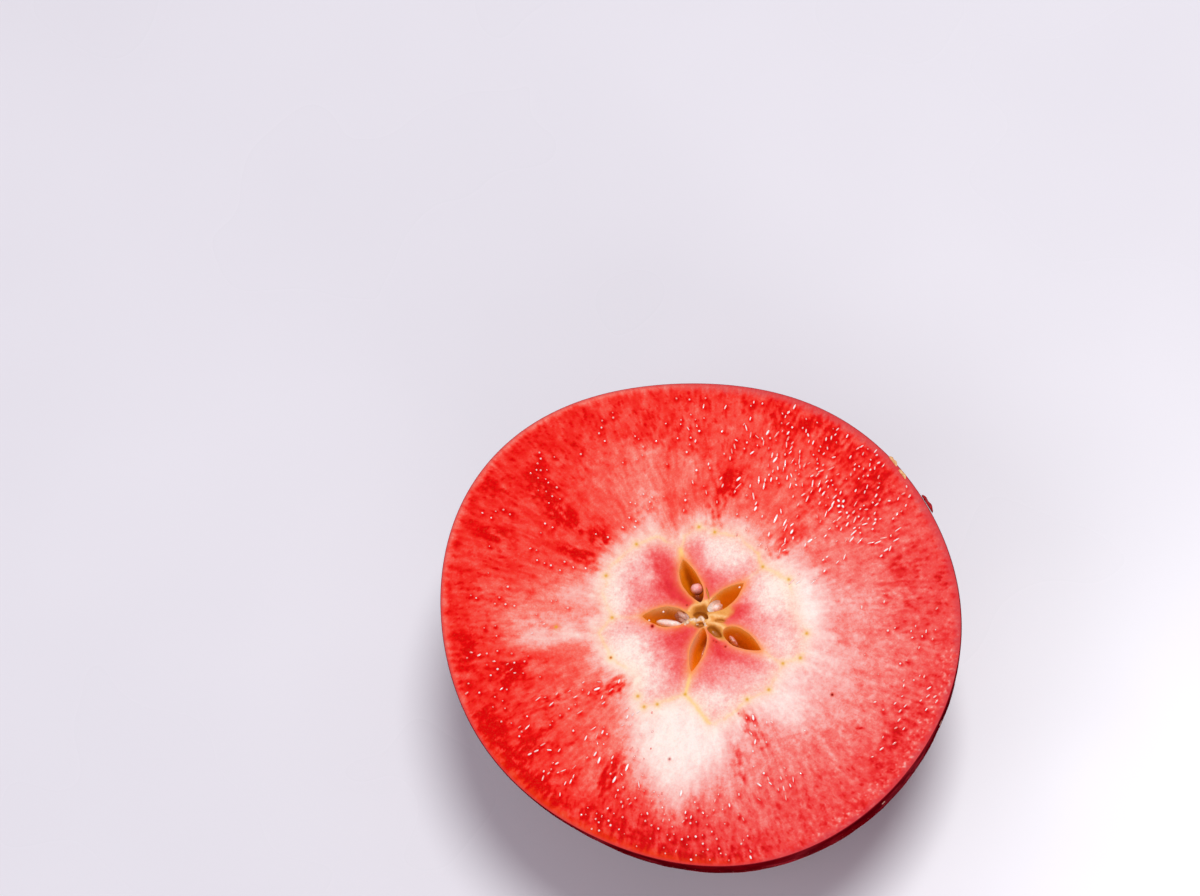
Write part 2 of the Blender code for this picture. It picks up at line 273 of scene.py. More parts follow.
# The juice standing on the cut, by zones: directions, distances, drops, lean from the ray, share of strokes
# and their length
JUICE = (
    (14, 80, 13, 30, 130, 12, 0.92, 0.86),
    (26, 68, 22, 34.5, 190, 16, 0.85, 0.52),
    (60, 100, 15, 34, 60, -8, 0.7, 0.60),
    (92, 180, 17, 36, 100, 0, 0.15, 0.36),
    (180, 215, 24, 36, 46, 0, 0.3, 0.44),
    (205, 250, 15, 31, 84, 8, 0.75, 0.70),
    (238, 281, 26, 35.8, 150, 0, 0.45, 0.42),
    (285, 302, 15, 28, 32, 0, 0.8, 0.60),
    (300, 372, 19, 34, 22, 60, 0.5, 0.40),
    (318, 358, 30, 35.5, 24, 70, 1.0, 0.55),
)
LARGE_DROPS = (  # place, direction and length of the longest strokes
    (11.0, 23.7, 52, 1.1), (10.0, 28.0, 60, 0.9), (10.9, 14.6, 66, 1.5), (8.0, 16.3, 60, 0.8),
    (5.6, 21.0, 42, 0.9), (13.2, 12.5, 60, 0.8), (15.8, 11.0, 35, 0.9), (-15.3, -9.9, 20, 1.0),
    (-12.8, -23.3, 62, 1.1), (-11.0, -21.6, 68, 1.2), (-15.0, -20.4, 70, 1.1), (-3.3, -25.6, 78, 1.0),
    (7.1, -15.0, 100, 0.9), (20.1, 16.9, 120, 0.5), (20.8, 16.8, 60, 0.5), (20.7, 16.0, 120, 0.5),
    (20.1, 16.1, 30, 0.5),
)
DROPS_IN_A_ROW = (1, 1, 1, 1, 2, 2, 3)
DROP_GAP = 0.62  # least distance between two drops
DROP_MARGIN = 0.8  # and from the skin
DROP_SHADOW_SHIFT = (0.14, -0.24)  # from each drop to the painted shadow beside it
CHAMBER_DROPS = ((-5.65, 1.35), (-7.75, 0.12), (5.45, 4.55))

# The ragged whitish threads in the core's middle and the folds of the silky skin beside it: points on each,
# with the depth below the cut and the thickness there
CORE_THREADS = (
    ((-3.1, -0.62, 0.3, 0.4), (-2.4, -0.42, 0.2, 0.5), (-1.75, -0.2, 0.16, 0.55), (-1.25, -0.1, 0.14, 0.55),
     (-0.85, -0.38, 0.18, 0.5), (-0.5, -0.15, 0.14, 0.5), (-0.18, 0.15, 0.12, 0.5), (0.15, -0.18, 0.14, 0.5),
     (0.38, -0.62, 0.16, 0.46), (0.72, -1.0, 0.2, 0.4)),
    ((-1.9, 0.1, 0.25, 0.4), (-1.3, -0.2, 0.22, 0.5), (-0.9, -0.6, 0.3, 0.4), (-0.6, -0.85, 0.45, 0.3)),
    ((0.42, -0.7, 0.25, 0.4), (0.5, -1.15, 0.25, 0.45), (0.45, -1.5, 0.35, 0.35)),
    ((-3.0, -0.84, 0.22, 0.35), (-2.6, -0.7, 0.16, 0.5), (-2.15, -0.52, 0.15, 0.5),
     (-1.7, -0.3, 0.14, 0.45)),
)
SILK_FOLDS = (
    ((-3.7, 1.35, 0.9, 0.3), (-3.2, 1.05, 0.6, 0.5), (-2.75, 0.55, 0.45, 0.6), (-2.35, 0.1, 0.4, 0.5)),
    ((-3.5, 0.5, 1.1, 0.3), (-3.0, 0.1, 0.7, 0.5), (-2.55, -0.3, 0.5, 0.5)),
)

# The room: the lamps' places in metres, sizes, powers and colours, and the point at which they aim
ROOM_COLOUR = (1.0, 0.86, 1.0, 1.0)
ROOM_LIGHT = 0.28
LAMPS = (
    ("key", (0.16, 0.14, 0.86), 0.26, 4.95, (0.97, 0.995, 0.975)),
    ("fill", (-0.60, -0.30, 0.70), 0.70, 1.35, (0.96, 0.97, 1.0)),
    ("front", (0.25, -0.75, 0.45), 0.60, 1.15, (1.0, 0.99, 0.98)),
)
LAMP_AIM = (0, 0, 0.02)
FLOOR_GAP = 0.0002

# The camera: its tilt off the core's axis and the turn of that tilt, its distance from the core in metres,
# its lens, and the point that it aims at, in millimetres from the core
CAMERA_TILT = 18
CAMERA_TURN = 20
CAMERA_DISTANCE = 0.432692
CAMERA_LENS = 90
CAMERA_AIM = (-13.554, 23.620, 8.718)

# Colours, as the eye reads them on a screen, from 0 to 255
FLESH_STEPS = (
    (0.00, (249, 238, 227)),
    (0.14, (248, 214, 203)),
    (0.30, (244, 174, 164)),
    (0.45, (244, 128, 114)),
    (0.60, (242, 87, 75)),
    (0.76, (241, 48, 40)),
    (0.90, (232, 8, 10)),
    (1.00, (214, 0, 4)),
)
COOL_STEPS = (
    (0.00, (248, 236, 228)),
    (0.14, (247, 208, 201)),
    (0.30, (243, 168, 162)),
    (0.45, (240, 122, 115)),
    (0.60, (236, 82, 79)),
    (0.76, (230, 46, 48)),
    (0.90, (216, 16, 24)),
    (1.00, (196, 2, 12)),
)
ROSE_STEPS = (
    (0.00, (249, 234, 222)),
    (0.15, (247, 210, 201)),
    (0.30, (244, 174, 168)),
    (0.45, (241, 134, 131)),
    (0.60, (237, 96, 97)),
    (0.78, (231, 58, 64)),
    (1.00, (212, 22, 42)),
)
# Olive of the core's middle, from its painted shade in the dips up to its pale ridges
OLIVE_AND_DIP_SHADE_STEPS = (
    (0.08, (150, 84, 16)),
    (0.34, (186, 112, 32)),
    (0.62, (236, 164, 84)),
    (0.88, (252, 206, 144)),
)
# Colours of the walls of the hollows and chambers by depth: pale at the lip, then darker towards the floor
# as painted shade
PITH_DEPTH_SHADE_STEPS = ((0.0, (206, 136, 56)), (0.5, (184, 108, 26)), (1.0, (150, 80, 8)))
LINING_DEPTH_SHADE_STEPS = (
    (0.00, (250, 190, 116)),
    (0.10, (248, 172, 74)),
    (0.32, (245, 160, 30)),
    (0.62, (236, 140, 12)),
    (1.00, (196, 96, 4)),
)
JUICE_GLINT_STEPS = ((0.0, (247, 132, 120)), (0.5, (251, 184, 174)), (1.0, (255, 246, 243)))
SKIN_STEPS = ((0.36, (64, 0, 10)), (0.46, (98, 0, 10)), (0.55, (122, 2, 14)), (0.66, (150, 16, 32)))
RUSSET_STEPS = ((0.3, (142, 78, 40)), (0.7, (196, 134, 78)))
LENTICEL_STEPS = ((0.3, (222, 136, 108)), (0.7, (244, 180, 150)))
SEPAL_STEPS = ((0.30, (52, 32, 20)), (0.50, (104, 70, 44)), (0.70, (156, 122, 84)))
TORN_TAN_STEPS = ((0.3, (214, 140, 84)), (0.7, (250, 206, 150)))
TORN_RED_STEPS = ((0.3, (110, 6, 14)), (0.7, (190, 40, 44)))
FLOOR_STEPS = ((0.3, (233, 231, 238)), (0.7, (236, 234, 241)))
WHITE_STEPS = ((0.34, (242, 196, 182)), (0.66, (255, 234, 226)))
TISSUES = {
    "ragged_core_tissue": ((0.34, (214, 158, 118)), (0.5, (238, 194, 160)), (0.68, (250, 222, 198))),
    "mauve_silky_skin": ((0.3, (184, 122, 98)), (0.5, (206, 150, 130)), (0.7, (232, 192, 178))),
    "white_silky_skin": ((0.3, (224, 184, 154)), (0.5, (240, 216, 200)), (0.7, (250, 234, 226))),
    "pink_seed_coat": ((0.32, (232, 140, 142)), (0.68, (250, 190, 186))),
    "white_seed_coat": WHITE_STEPS,
    "pale_seed_coat": WHITE_STEPS,
    "blushed_seed_coat": ((0.35, (206, 110, 96)), (0.65, (244, 196, 182))),
}
SHADE = (128, 40, 14)
MAROON = (112, 24, 4)
FLAME = (52, 0, 12)
BLUSH = (170, 44, 56)
CORK = (212, 128, 92)
CUT_EDGE = (132, 18, 30)
LENTICEL_MIDDLE = (168, 62, 50)
GOLD_PALE = (250, 208, 132)
GOLD_DEEP = (224, 160, 22)
TAN = (247, 150, 88)
CREAM = (248, 190, 148)
UNDER_SKIN = (204, 60, 64)
DUSKY = (204, 58, 70)
BURNT = (232, 62, 18)
STAIN = (232, 62, 36)
SPECK = (138, 4, 0)


def linear(colour):
    """A screen colour as the light it stands for."""
    parts = [c / 255 for c in colour]
    return tuple(c / 12.92 if c <= 0.04045 else ((c + 0.055) / 1.055) ** 2.4 for c in parts)


def smooth(low, high, value):
    """0 at low, 1 at high, and an even turn between."""
    share = np.clip((value - low) / (high - low), 0, 1)
    return share * share * (3 - 2 * share)


def toward(angle, direction):
    """1 in this direction, -1 in the opposite one."""
    return np.cos(angle - math.radians(direction))


def bell(gap, reach):
    """1 at no distance, fading to nothing at about twice this reach."""
    return np.exp(-((gap / reach) ** 2))


def turns_round(count):
    """Directions spaced evenly all the way round."""
    return np.arange(count) * 2 * np.pi / count


def polar(radius, angle):
    return np.stack([radius * np.cos(angle), radius * np.sin(angle)], axis=-1)


def directions(angle):
    """The unit vectors along this direction and square to it."""
    along = np.array([math.cos(angle), math.sin(angle), 0.0])
    return along, np.array([-along[1], along[0], 0.0])


def face_radius(angle):
    """Distance from the core to the edge of the cut."""
    return FACE_RADIUS + sum(push * toward(n * angle, n * at) for n, push, at in FACE_WAVES)


def core_axis():
    """Where the core stands about the middle of the half."""
    turns = turns_round(100)
    rim = polar(face_radius(turns), turns)
    return np.array([*(-(rim.min(axis=0) + rim.max(axis=0)) / 2), 0.0])


AXIS = core_axis()
FACE_Z = HEIGHT - FACE_DROP


# Noise and distances


def grain(points, size, seed, octaves=2):
    """Even noise between about -1 and 1, with features of about this size."""
    placed = np.asarray(points) / size + np.array([seed * 7.31, seed * 3.77, seed * 5.93])
    return np.array([noise.fractal(p, 0.7, 2.0, octaves) for p in placed.tolist()])


def streaks(x, y, across, along, seed):
    """Noise drawn out along the rays from the core, of the same width near the core and near the skin."""
    angle = np.arctan2(y, x)
    total, power = np.zeros_like(x), np.zeros_like(x)
    for sector, ray in enumerate(turns_round(STREAK_SECTORS)):
        apart = np.abs((angle - ray + math.pi) % (2 * math.pi) - math.pi) * STREAK_SECTORS / (2 * math.pi)
        near = apart < 1
        share = 1 - apart[near]
        out = x[near] * math.cos(ray) + y[near] * math.sin(ray)
        aside = y[near] * math.cos(ray) - x[near] * math.sin(ray)
        drawn = np.stack([out / along, aside / across, np.full(len(out), 9.7 * sector)], axis=1)
        total[near] += share * grain(drawn, 1.0, seed)
        power[near] += share**2
    return total / np.sqrt(power)


def patch(x, y, middle_x, middle_y, length, width, direction, strength):
    """A soft-edged oval patch with a level middle."""
    turn = math.radians(direction)
    dx, dy = x - middle_x, y - middle_y
    along = (dx * math.cos(turn) + dy * math.sin(turn)) / length
    aside = (-dx * math.sin(turn) + dy * math.cos(turn)) / width
    return strength * np.exp(-((along**2 + aside**2) ** 1.7) * 0.9)


def inside(points, ring):
    """Which of the points lie within a closed ring."""
    x, y = points[:, 0], points[:, 1]
    within = np.zeros(len(points), dtype=bool)
    for (x1, y1), (x2, y2) in zip(ring, np.roll(ring, -1, axis=0)):
        if y1 == y2:
            continue
        crosses = (y1 > y) != (y2 > y)
        within ^= crosses & (x < (x2 - x1) * (y - y1) / (y2 - y1) + x1)
    return within


def distance_to(points, ring, closed=True):
    """Least distance from each point to a run of straight lines."""
    ring = np.asarray(ring, dtype=float)
    best = np.full(len(points), 99.0)
    ends = np.roll(ring, -1, axis=0) if closed else ring[1:]
    for start, end in zip(ring, ends):
        run = end - start
        share = np.clip(((points - start) @ run) / max(run @ run, 1e-12), 0, 1)
        gap = points - start - share[:, None] * run
        best = np.minimum(best, np.hypot(gap[:, 0], gap[:, 1]))
    return best


def tree_of(places):
    """A search tree of places on the cut."""
    tree = kdtree.KDTree(len(places))
    for i, (x, y) in enumerate(places):
        tree.insert((x, y, 0), i)
    tree.balance()
    return tree


def polar_line(points, angle):
    """Distance from the core, in each direction, of a line through these points."""
    placed = np.array(points)
    turns, reach = np.arctan2(placed[:, 1], placed[:, 0]), np.hypot(placed[:, 0], placed[:, 1])
    order = np.argsort(turns)
    return np.interp(angle, turns[order], reach[order], period=2 * math.pi)


# Chambers


def swell(place, belly, fullness):
    """Share of its full width that a side has at a place along its length."""
    return np.where((place > 0) & (place < 1), np.abs(np.sin(np.pi * place**belly)) ** fullness, 0.0)


def chamber_place(sizes, share, place, side):
    """Points at shares of a chamber's depth and length, and of its width from -1 at right to 1 at left."""
    start, tip, left_side, right_side, _ = sizes
    fullness = CHAMBER_FULLNESS if sizes in CHAMBERS.values() else HOLLOW_FULLNESS
    start, tip = np.array(start), np.array(tip)
    along = tip - start
    leftward = np.array([-along[1], along[0]]) / np.hypot(*along)
    width = np.where(side > 0, left_side[0], right_side[0])
    belly = np.where(side > 0, left_side[1], right_side[1])
    closing = math.cos(share * CHAMBER_CLOSING) ** CHAMBER_BARREL
    across = side * width * swell(place, belly, fullness) * closing
    reach = 1 - CHAMBER_RETREAT * share**2
    return start + np.outer(place * reach, along) + np.outer(across, leftward)


def outline(sizes, half, share=0.0, seed=0):
    """The outline of a chamber at a share of its depth, with the slight unevenness of a real one."""
    there = (1 - np.cos(np.pi * np.arange(half + 1) / half)) / 2
    place = np.concatenate([there, there[-2:0:-1]])
    side = np.concatenate([np.ones(half + 1), -np.ones(half - 1)])
    flat = chamber_place(sizes, share, place, side)
    uneven = grain(np.column_stack([flat, np.full(len(flat), share * 2.0)]), 1.3, 40 + seed)
    outward = flat - flat.mean(axis=0)
    outward /= np.maximum(np.hypot(outward[:, 0], outward[:, 1]), 1e-6)[:, None]
    return flat + outward * (0.07 * uneven * min(1.0, sizes[2][0]))[:, None]


OPENINGS = {
    name: (sizes, 40 if name in CHAMBERS else 16, number)
    for number, (name, sizes) in enumerate({**CHAMBERS, **HOLLOWS}.items())
}
RINGS = {name: outline(sizes, half, 0.0, seed) for name, (sizes, half, seed) in OPENINGS.items()}


# Meshes


def mesh_object(name, points, faces, material, fields=None, stands_for="apple_half"):
    """A piece from points in millimetres about the core's axis, with numbers for its material to read."""
    data = bpy.data.meshes.new(name)
    data.from_pydata(((np.asarray(points, dtype=float) + AXIS) * MM).tolist(), [], faces)
    data.validate()
    data.update()
    data.shade_smooth()
    data.materials.append(material)
    for field, values in (fields or {}).items():
        layer = data.attributes.new(field, "FLOAT", "POINT")
        layer.data.foreach_set("value", np.asarray(values, dtype=np.float32))
    made = bpy.data.objects.new(name, data)
    bpy.context.scene.collection.objects.link(made)
    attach(made, "root")
    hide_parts(stands_for)
    return made


def weld(made):
    """Joins the points that lie on one another, and turns every face outward."""
    mesh = bmesh.new()
    mesh.from_mesh(made.data)
    bmesh.ops.remove_doubles(mesh, verts=mesh.verts, dist=1e-7)
    bmesh.ops.dissolve_degenerate(mesh, edges=mesh.edges, dist=1e-8)
    bmesh.ops.recalc_face_normals(mesh, faces=mesh.faces)
    mesh.to_mesh(made.data)
    mesh.free()


def strip_faces(rows, count, start=0, closed=True):
    """Quads between rows of points that each have the same count."""
    faces = []
    for row in range(rows - 1):
        for i in range(count if closed else count - 1):
            j = (i + 1) % count
            a, b = start + row * count, start + (row + 1) * count
            faces.append((a + i, b + i, b + j, a + j))
    return faces


def tube_faces(rows, sides, first):
    """A tube of rows of points that is closed at both ends."""
    last = first + rows * sides
    ends = [tuple(reversed(range(first, first + sides))), tuple(range(last - sides, last))]
    return strip_faces(rows, sides, first) + ends


def roughen(points, amount, size, seed):
    """The points, each moved a little in its own direction."""
    points = np.array(points)
    return points + amount * np.stack([grain(points, size, seed + i) for i in range(3)], axis=1)


# Materials


class Nodes:
    """A material's node tree, built by short calls. Text in place of a number names a field of the mesh."""

    def __init__(self, name):
        self.material = bpy.data.materials.new(name)
        self.material.use_nodes = True
        self.tree = self.material.node_tree

    def feed(self, socket, value):
        """Gives a socket a number, a list of them, a screen colour, a field's name or a node's result."""
        if isinstance(value, str):
            value = self.add("ShaderNodeAttribute", attribute_name=value).outputs["Fac"]
        if isinstance(value, tuple):
            socket.default_value = (*linear(value), 1.0)
        elif isinstance(value, (int, float, list)):
            socket.default_value = value
        else:
            self.tree.links.new(value, socket)

    def add(self, kind, inputs=None, **settings):
        node = self.tree.nodes.new(kind)
        for key, value in settings.items():
            setattr(node, key, value)
        for key, value in (inputs or {}).items():
            self.feed(node.inputs[key], value)
        return node

    def noise(self, size, detail=2.0, roughness=0.5, distortion=0.0):
        """Noise from 0 to 1 with features of this size in millimetres. Size may differ by direction."""
        sizes = size if isinstance(size, tuple) else (size,) * 3
        place = self.add("ShaderNodeMapping", {
            "Vector": self.add("ShaderNodeTexCoord").outputs["Object"],
            "Scale": [1 / (s * MM) for s in sizes],
        })
        return self.add("ShaderNodeTexNoise", {
            "Vector": place.outputs["Vector"], "Scale": 1.0,
            "Detail": detail, "Roughness": roughness, "Distortion": distortion,
        }).outputs["Fac"]

    def vector(self, operation, inputs, result="Vector"):
        return self.add("ShaderNodeVectorMath", inputs, operation=operation).outputs[result]

    def rays(self, width, length):
        """Noise from 0 to 1 drawn out along the rays from the core, of this width 25 mm out from it."""
        place = self.add("ShaderNodeTexCoord").outputs["Object"]
        from_core = self.vector("SUBTRACT", {0: place, 1: [c * MM for c in AXIS]})
        flat = self.vector("MULTIPLY", {0: from_core, 1: [1, 1, 0]})
        turned = self.vector("SCALE", {0: self.vector("NORMALIZE", {0: flat}), "Scale": 25 / width})
        reach = self.math("DIVIDE", self.vector("LENGTH", {0: flat}, "Value"), length * MM)
        lifted = self.add("ShaderNodeCombineXYZ", {"Z": reach}).outputs["Vector"]
        place = self.vector("ADD", {0: turned, 1: lifted})
        return self.add("ShaderNodeTexNoise", {"Vector": place, "Scale": 1.0, "Detail": 2.0}).outputs["Fac"]

    def math(self, operation, a, b=0.0, clamp=False):
        return self.add("ShaderNodeMath", {0: a, 1: b}, operation=operation, use_clamp=clamp).outputs[0]

    def plus(self, a, b, clamp=False):
        return self.math("ADD", a, b, clamp)

    def times(self, a, b):
        return self.math("MULTIPLY", a, b)

    def swing(self, value, amount):
        """Noise from 0 to 1 as a change around nought."""
        return self.times(self.math("SUBTRACT", value, 0.5), amount)

    def spread(self, value, from_low, from_high, to_low=0.0, to_high=1.0):
        """The value moved from one range to another, and held within it."""
        return self.add("ShaderNodeMapRange", {
            "Value": value, "From Min": from_low, "From Max": from_high, "To Min": to_low, "To Max": to_high,
        }, interpolation_type="SMOOTHSTEP").outputs["Result"]

    def vary(self, cloud, low, high):
        """A number that follows noise from low to high."""
        return self.spread(cloud, 0.3, 0.7, low, high)

    def ramp(self, value, steps):
        node = self.add("ShaderNodeValToRGB", {"Fac": value})
        points = node.color_ramp.elements
        while len(points) < len(steps):
            points.new(0.5)
        for point, (place, colour) in zip(points, steps):
            point.position = place
            point.color = (*linear(colour), 1.0)
        return node.outputs["Color"]

    def mix(self, share, first, second):
        return self.add("ShaderNodeMix", {0: share, 6: first, 7: second}, data_type="RGBA").outputs[2]

    def bump(self, height, distance, strength, before=None):
        inputs = {"Height": height, "Distance": distance * MM, "Strength": strength}
        if before is not None:
            inputs["Normal"] = before
        return self.add("ShaderNodeBump", inputs).outputs["Normal"]

    def finish(self, colour, **values):
        """The material, with this colour and these values on the shader's own sockets."""
        shader = self.tree.nodes["Principled BSDF"]
        for key, value in {"Base_Color": colour, **values}.items():
            self.feed(shader.inputs[key.replace("_", " ")], value)
        return self.material


def flesh_material():
    n = Nodes("moist_red_flesh")
    speckle = n.noise(0.26, 2.0, 0.6)
    cloud = n.noise(0.9, 3.0, 0.65)
    stir = n.plus(n.swing(speckle, 0.28), n.swing(cloud, 0.18))
    fibre = n.times(n.swing(n.rays(0.32, 2.6), 0.12), n.math("SUBTRACT", 1.0, "core"))
    weight = n.spread("redness", 0.0, 0.5, 0.40, 1.0)
    redness = n.plus("redness", n.times(n.plus(stir, fibre), weight), clamp=True)
    colour = n.mix("cool", n.ramp(redness, FLESH_STEPS), n.ramp(redness, COOL_STEPS))
    colour = n.mix("core", colour, n.ramp(n.plus("rose", n.times(stir, 1.2), clamp=True), ROSE_STEPS))
    olive = n.ramp(n.plus("ridge_pale_dip_shade", n.swing(speckle, 0.16), clamp=True), OLIVE_AND_DIP_SHADE_STEPS)
    tan = n.plus("tan", n.swing(speckle, 0.3), clamp=True)
    for share, tint in (
        ("gold", GOLD_PALE), ("vein", GOLD_DEEP), (tan, TAN), ("pith", olive), ("dusky", DUSKY),
        ("burnt", BURNT), ("under_skin", UNDER_SKIN), ("stain", STAIN), ("speck", SPECK),
    ):
        colour = n.mix(share, colour, tint)
    return n.finish(
        colour, Subsurface_Weight=0.06, Subsurface_Scale=0.0005, Subsurface_Radius=[1.0, 0.35, 0.25],
        Specular_IOR_Level=0.02, Roughness=n.vary(speckle, 0.38, 0.55),
        Normal=n.bump(speckle, 0.05, 0.5, n.bump(cloud, 0.08, 0.4)),
    )


def lining_material():
    n = Nodes("amber_core_lining")
    streak = n.noise((0.35, 0.35, 1.6), 3.0, 0.6, 0.3)
    cloud = n.noise(1.2, 2.0, 0.6)
    # Painted shade: the walls darken from the lip down towards the floor
    deep = n.plus("depth", n.plus(n.swing(streak, 0.30), n.swing(cloud, 0.35)), clamp=True)
    # Painted shade in maroon deep in the upper chamber, then the pale patches, one of which is painted light
    colour = n.mix("maroon_shade", n.ramp(deep, LINING_DEPTH_SHADE_STEPS), MAROON)
    colour = n.mix("cream", colour, CREAM)
    colour = n.mix("pith", colour, n.ramp(deep, PITH_DEPTH_SHADE_STEPS))
    # A faint glow stands for the light that comes through the thin walls
    return n.finish(
        colour, Emission_Color=colour, Emission_Strength=0.12, Coat_Weight=0.12, Coat_Roughness=0.15,
        Specular_IOR_Level=0.2, Roughness=n.vary(streak, 0.26, 0.42), Normal=n.bump(streak, 0.05, 0.5),
    )


def tissue_material(name, size=0.5):
    """Wet pale tissue, as of the seeds, the silky skins beside them and the threads in the core's middle."""
    n = Nodes(name)
    cloud = n.noise(size, 3.0, 0.6, 0.3)
    # Painted shade darkens the seeds' coats low down, where their shade field is set
    return n.finish(
        n.mix("shade", n.ramp(cloud, TISSUES[name]), SHADE),
        Subsurface_Weight=0.2, Subsurface_Scale=0.0006, Subsurface_Radius=[1.0, 0.5, 0.4],
        Coat_Weight=0.25, Coat_Roughness=0.15,
        Roughness=n.vary(cloud, 0.3, 0.5), Normal=n.bump(cloud, 0.04, 0.4),
    )


def juice_material():
    n = Nodes("bright_juice")
    cloud = n.noise(0.5, 1.0)
    # Painted highlight: the drops' near-white colour stands for the glints of light on the wet cut
    painted_glint = n.plus("painted_glint", n.swing(cloud, 0.4), clamp=True)
    return n.finish(
        n.ramp(painted_glint, JUICE_GLINT_STEPS), Specular_IOR_Level=0.6, Coat_Weight=0.4, Coat_Roughness=0.05,
        Roughness=n.vary(cloud, 0.14, 0.26),
    )


def skin_material():
    n = Nodes("dark_speckled_skin")
    marble = n.noise(3.4, 5.0, 0.68, 0.6)
    wide = n.noise(13.0, 3.0, 0.6)
    fine = n.noise(0.5, 2.0, 0.6)
    branch = n.noise(2.2, 3.0, 0.6, 1.4)
    colour = n.ramp(n.plus(n.times(marble, 0.55), n.times(wide, 0.45)), SKIN_STEPS)
    colour = n.mix(n.times("flame", n.vary(fine, 0.4, 1.0)), colour, FLAME)
    colour = n.mix(n.times("blush", n.spread(marble, 0.35, 0.65, 0.2, 1.0)), colour, BLUSH)
    # Corky lines run where the branching noise passes its middle value
    line = n.spread(n.math("ABSOLUTE", n.math("SUBTRACT", branch, 0.5)), 0.0, 0.022, 1.0, 0.0)
    colour = n.mix(n.times(n.times(line, "scarf"), n.spread(fine, 0.35, 0.6)), colour, CORK)
    russet = n.spread(n.plus("russet", n.plus(n.swing(marble, 1.0), n.swing(fine, 0.5))), 0.30, 0.78)
    colour = n.mix(russet, colour, n.ramp(fine, RUSSET_STEPS))
    return n.finish(
        n.mix("cut_edge", colour, CUT_EDGE), Specular_IOR_Level=0.0, Coat_Roughness=0.14,
        Coat_Weight=n.times("gloss", n.vary(marble, 0.55, 0.38)),
        Roughness=n.plus(n.vary(marble, 0.26, 0.38), n.times(russet, 0.25)),
        Normal=n.bump(fine, 0.03, 0.4, n.bump(marble, 0.08, 0.3)),
    )


def lenticel_material():
    n = Nodes("pale_corky_dots")
    cloud = n.noise(0.5, 2.0)
    colour = n.mix("ring", n.ramp(cloud, LENTICEL_STEPS), LENTICEL_MIDDLE)
    return n.finish(colour, Roughness=n.vary(cloud, 0.4, 0.55), Normal=n.bump(cloud, 0.03, 0.4))


def dried_material():
    n = Nodes("dried_sepal")
    streak = n.noise((0.4, 0.4, 1.4), 4.0, 0.7, 0.5)
    colour = n.ramp(streak, SEPAL_STEPS)
    return n.finish(colour, Roughness=n.vary(streak, 0.65, 0.9), Normal=n.bump(streak, 0.15, 0.8))


def torn_material(name, steps):
    n = Nodes(name)
    cloud = n.noise(0.4, 3.0)
    return n.finish(
        n.ramp(cloud, steps), Specular_IOR_Level=0.1, Roughness=n.vary(cloud, 0.4, 0.6),
        Normal=n.bump(cloud, 0.05, 0.6),
    )


def floor_material():
    n = Nodes("pale_floor")
    cloud = n.noise(60.0, 2.0)
    return n.finish(n.ramp(cloud, FLOOR_STEPS), Specular_IOR_Level=0.3, Roughness=n.vary(cloud, 0.26, 0.32))


# The cut face


def juice_drops():
    """Place, direction, length, width and painted glint brightness of each drop on the cut."""
    draw = random.Random(11)
    drops = [(x, y, direction, length, 0.34, 1.0) for x, y, direction, length in LARGE_DROPS]
    for start, end, near, far, count, lean, strokes, length in JUICE:
        left = count
        while left > 0:
            angle = math.radians(draw.uniform(start, end))
            distance = math.sqrt(draw.uniform(near**2, far**2))
            heading = math.degrees(angle) + lean + draw.gauss(0, 12)
            x, y = distance * math.cos(angle), distance * math.sin(angle)
            run = min(left, draw.choice(DROPS_IN_A_ROW))
            for _ in range(run):
                stroke = draw.random() < strokes
                long = draw.uniform(0.5, 1.5) * length if stroke else draw.uniform(0.20, 0.38)
                wide = draw.uniform(0.16, 0.28) if stroke else 0.9 * long
                apart = min(math.hypot(x - drop[0], y - drop[1]) for drop in drops)
                if apart > DROP_GAP and math.hypot(x, y) < face_radius(math.atan2(y, x)) - DROP_MARGIN:
                    painted_glint = draw.random() ** (0.6 if stroke else 1.2)
                    drops.append((x, y, heading + draw.gauss(0, 16), long, wide, painted_glint))
                gap = draw.uniform(0.7, 1.6)
                x += gap * math.cos(math.radians(heading)) + draw.gauss(0, 0.3)
                y += gap * math.sin(math.radians(heading)) + draw.gauss(0, 0.3)
            left -= run
    return drops


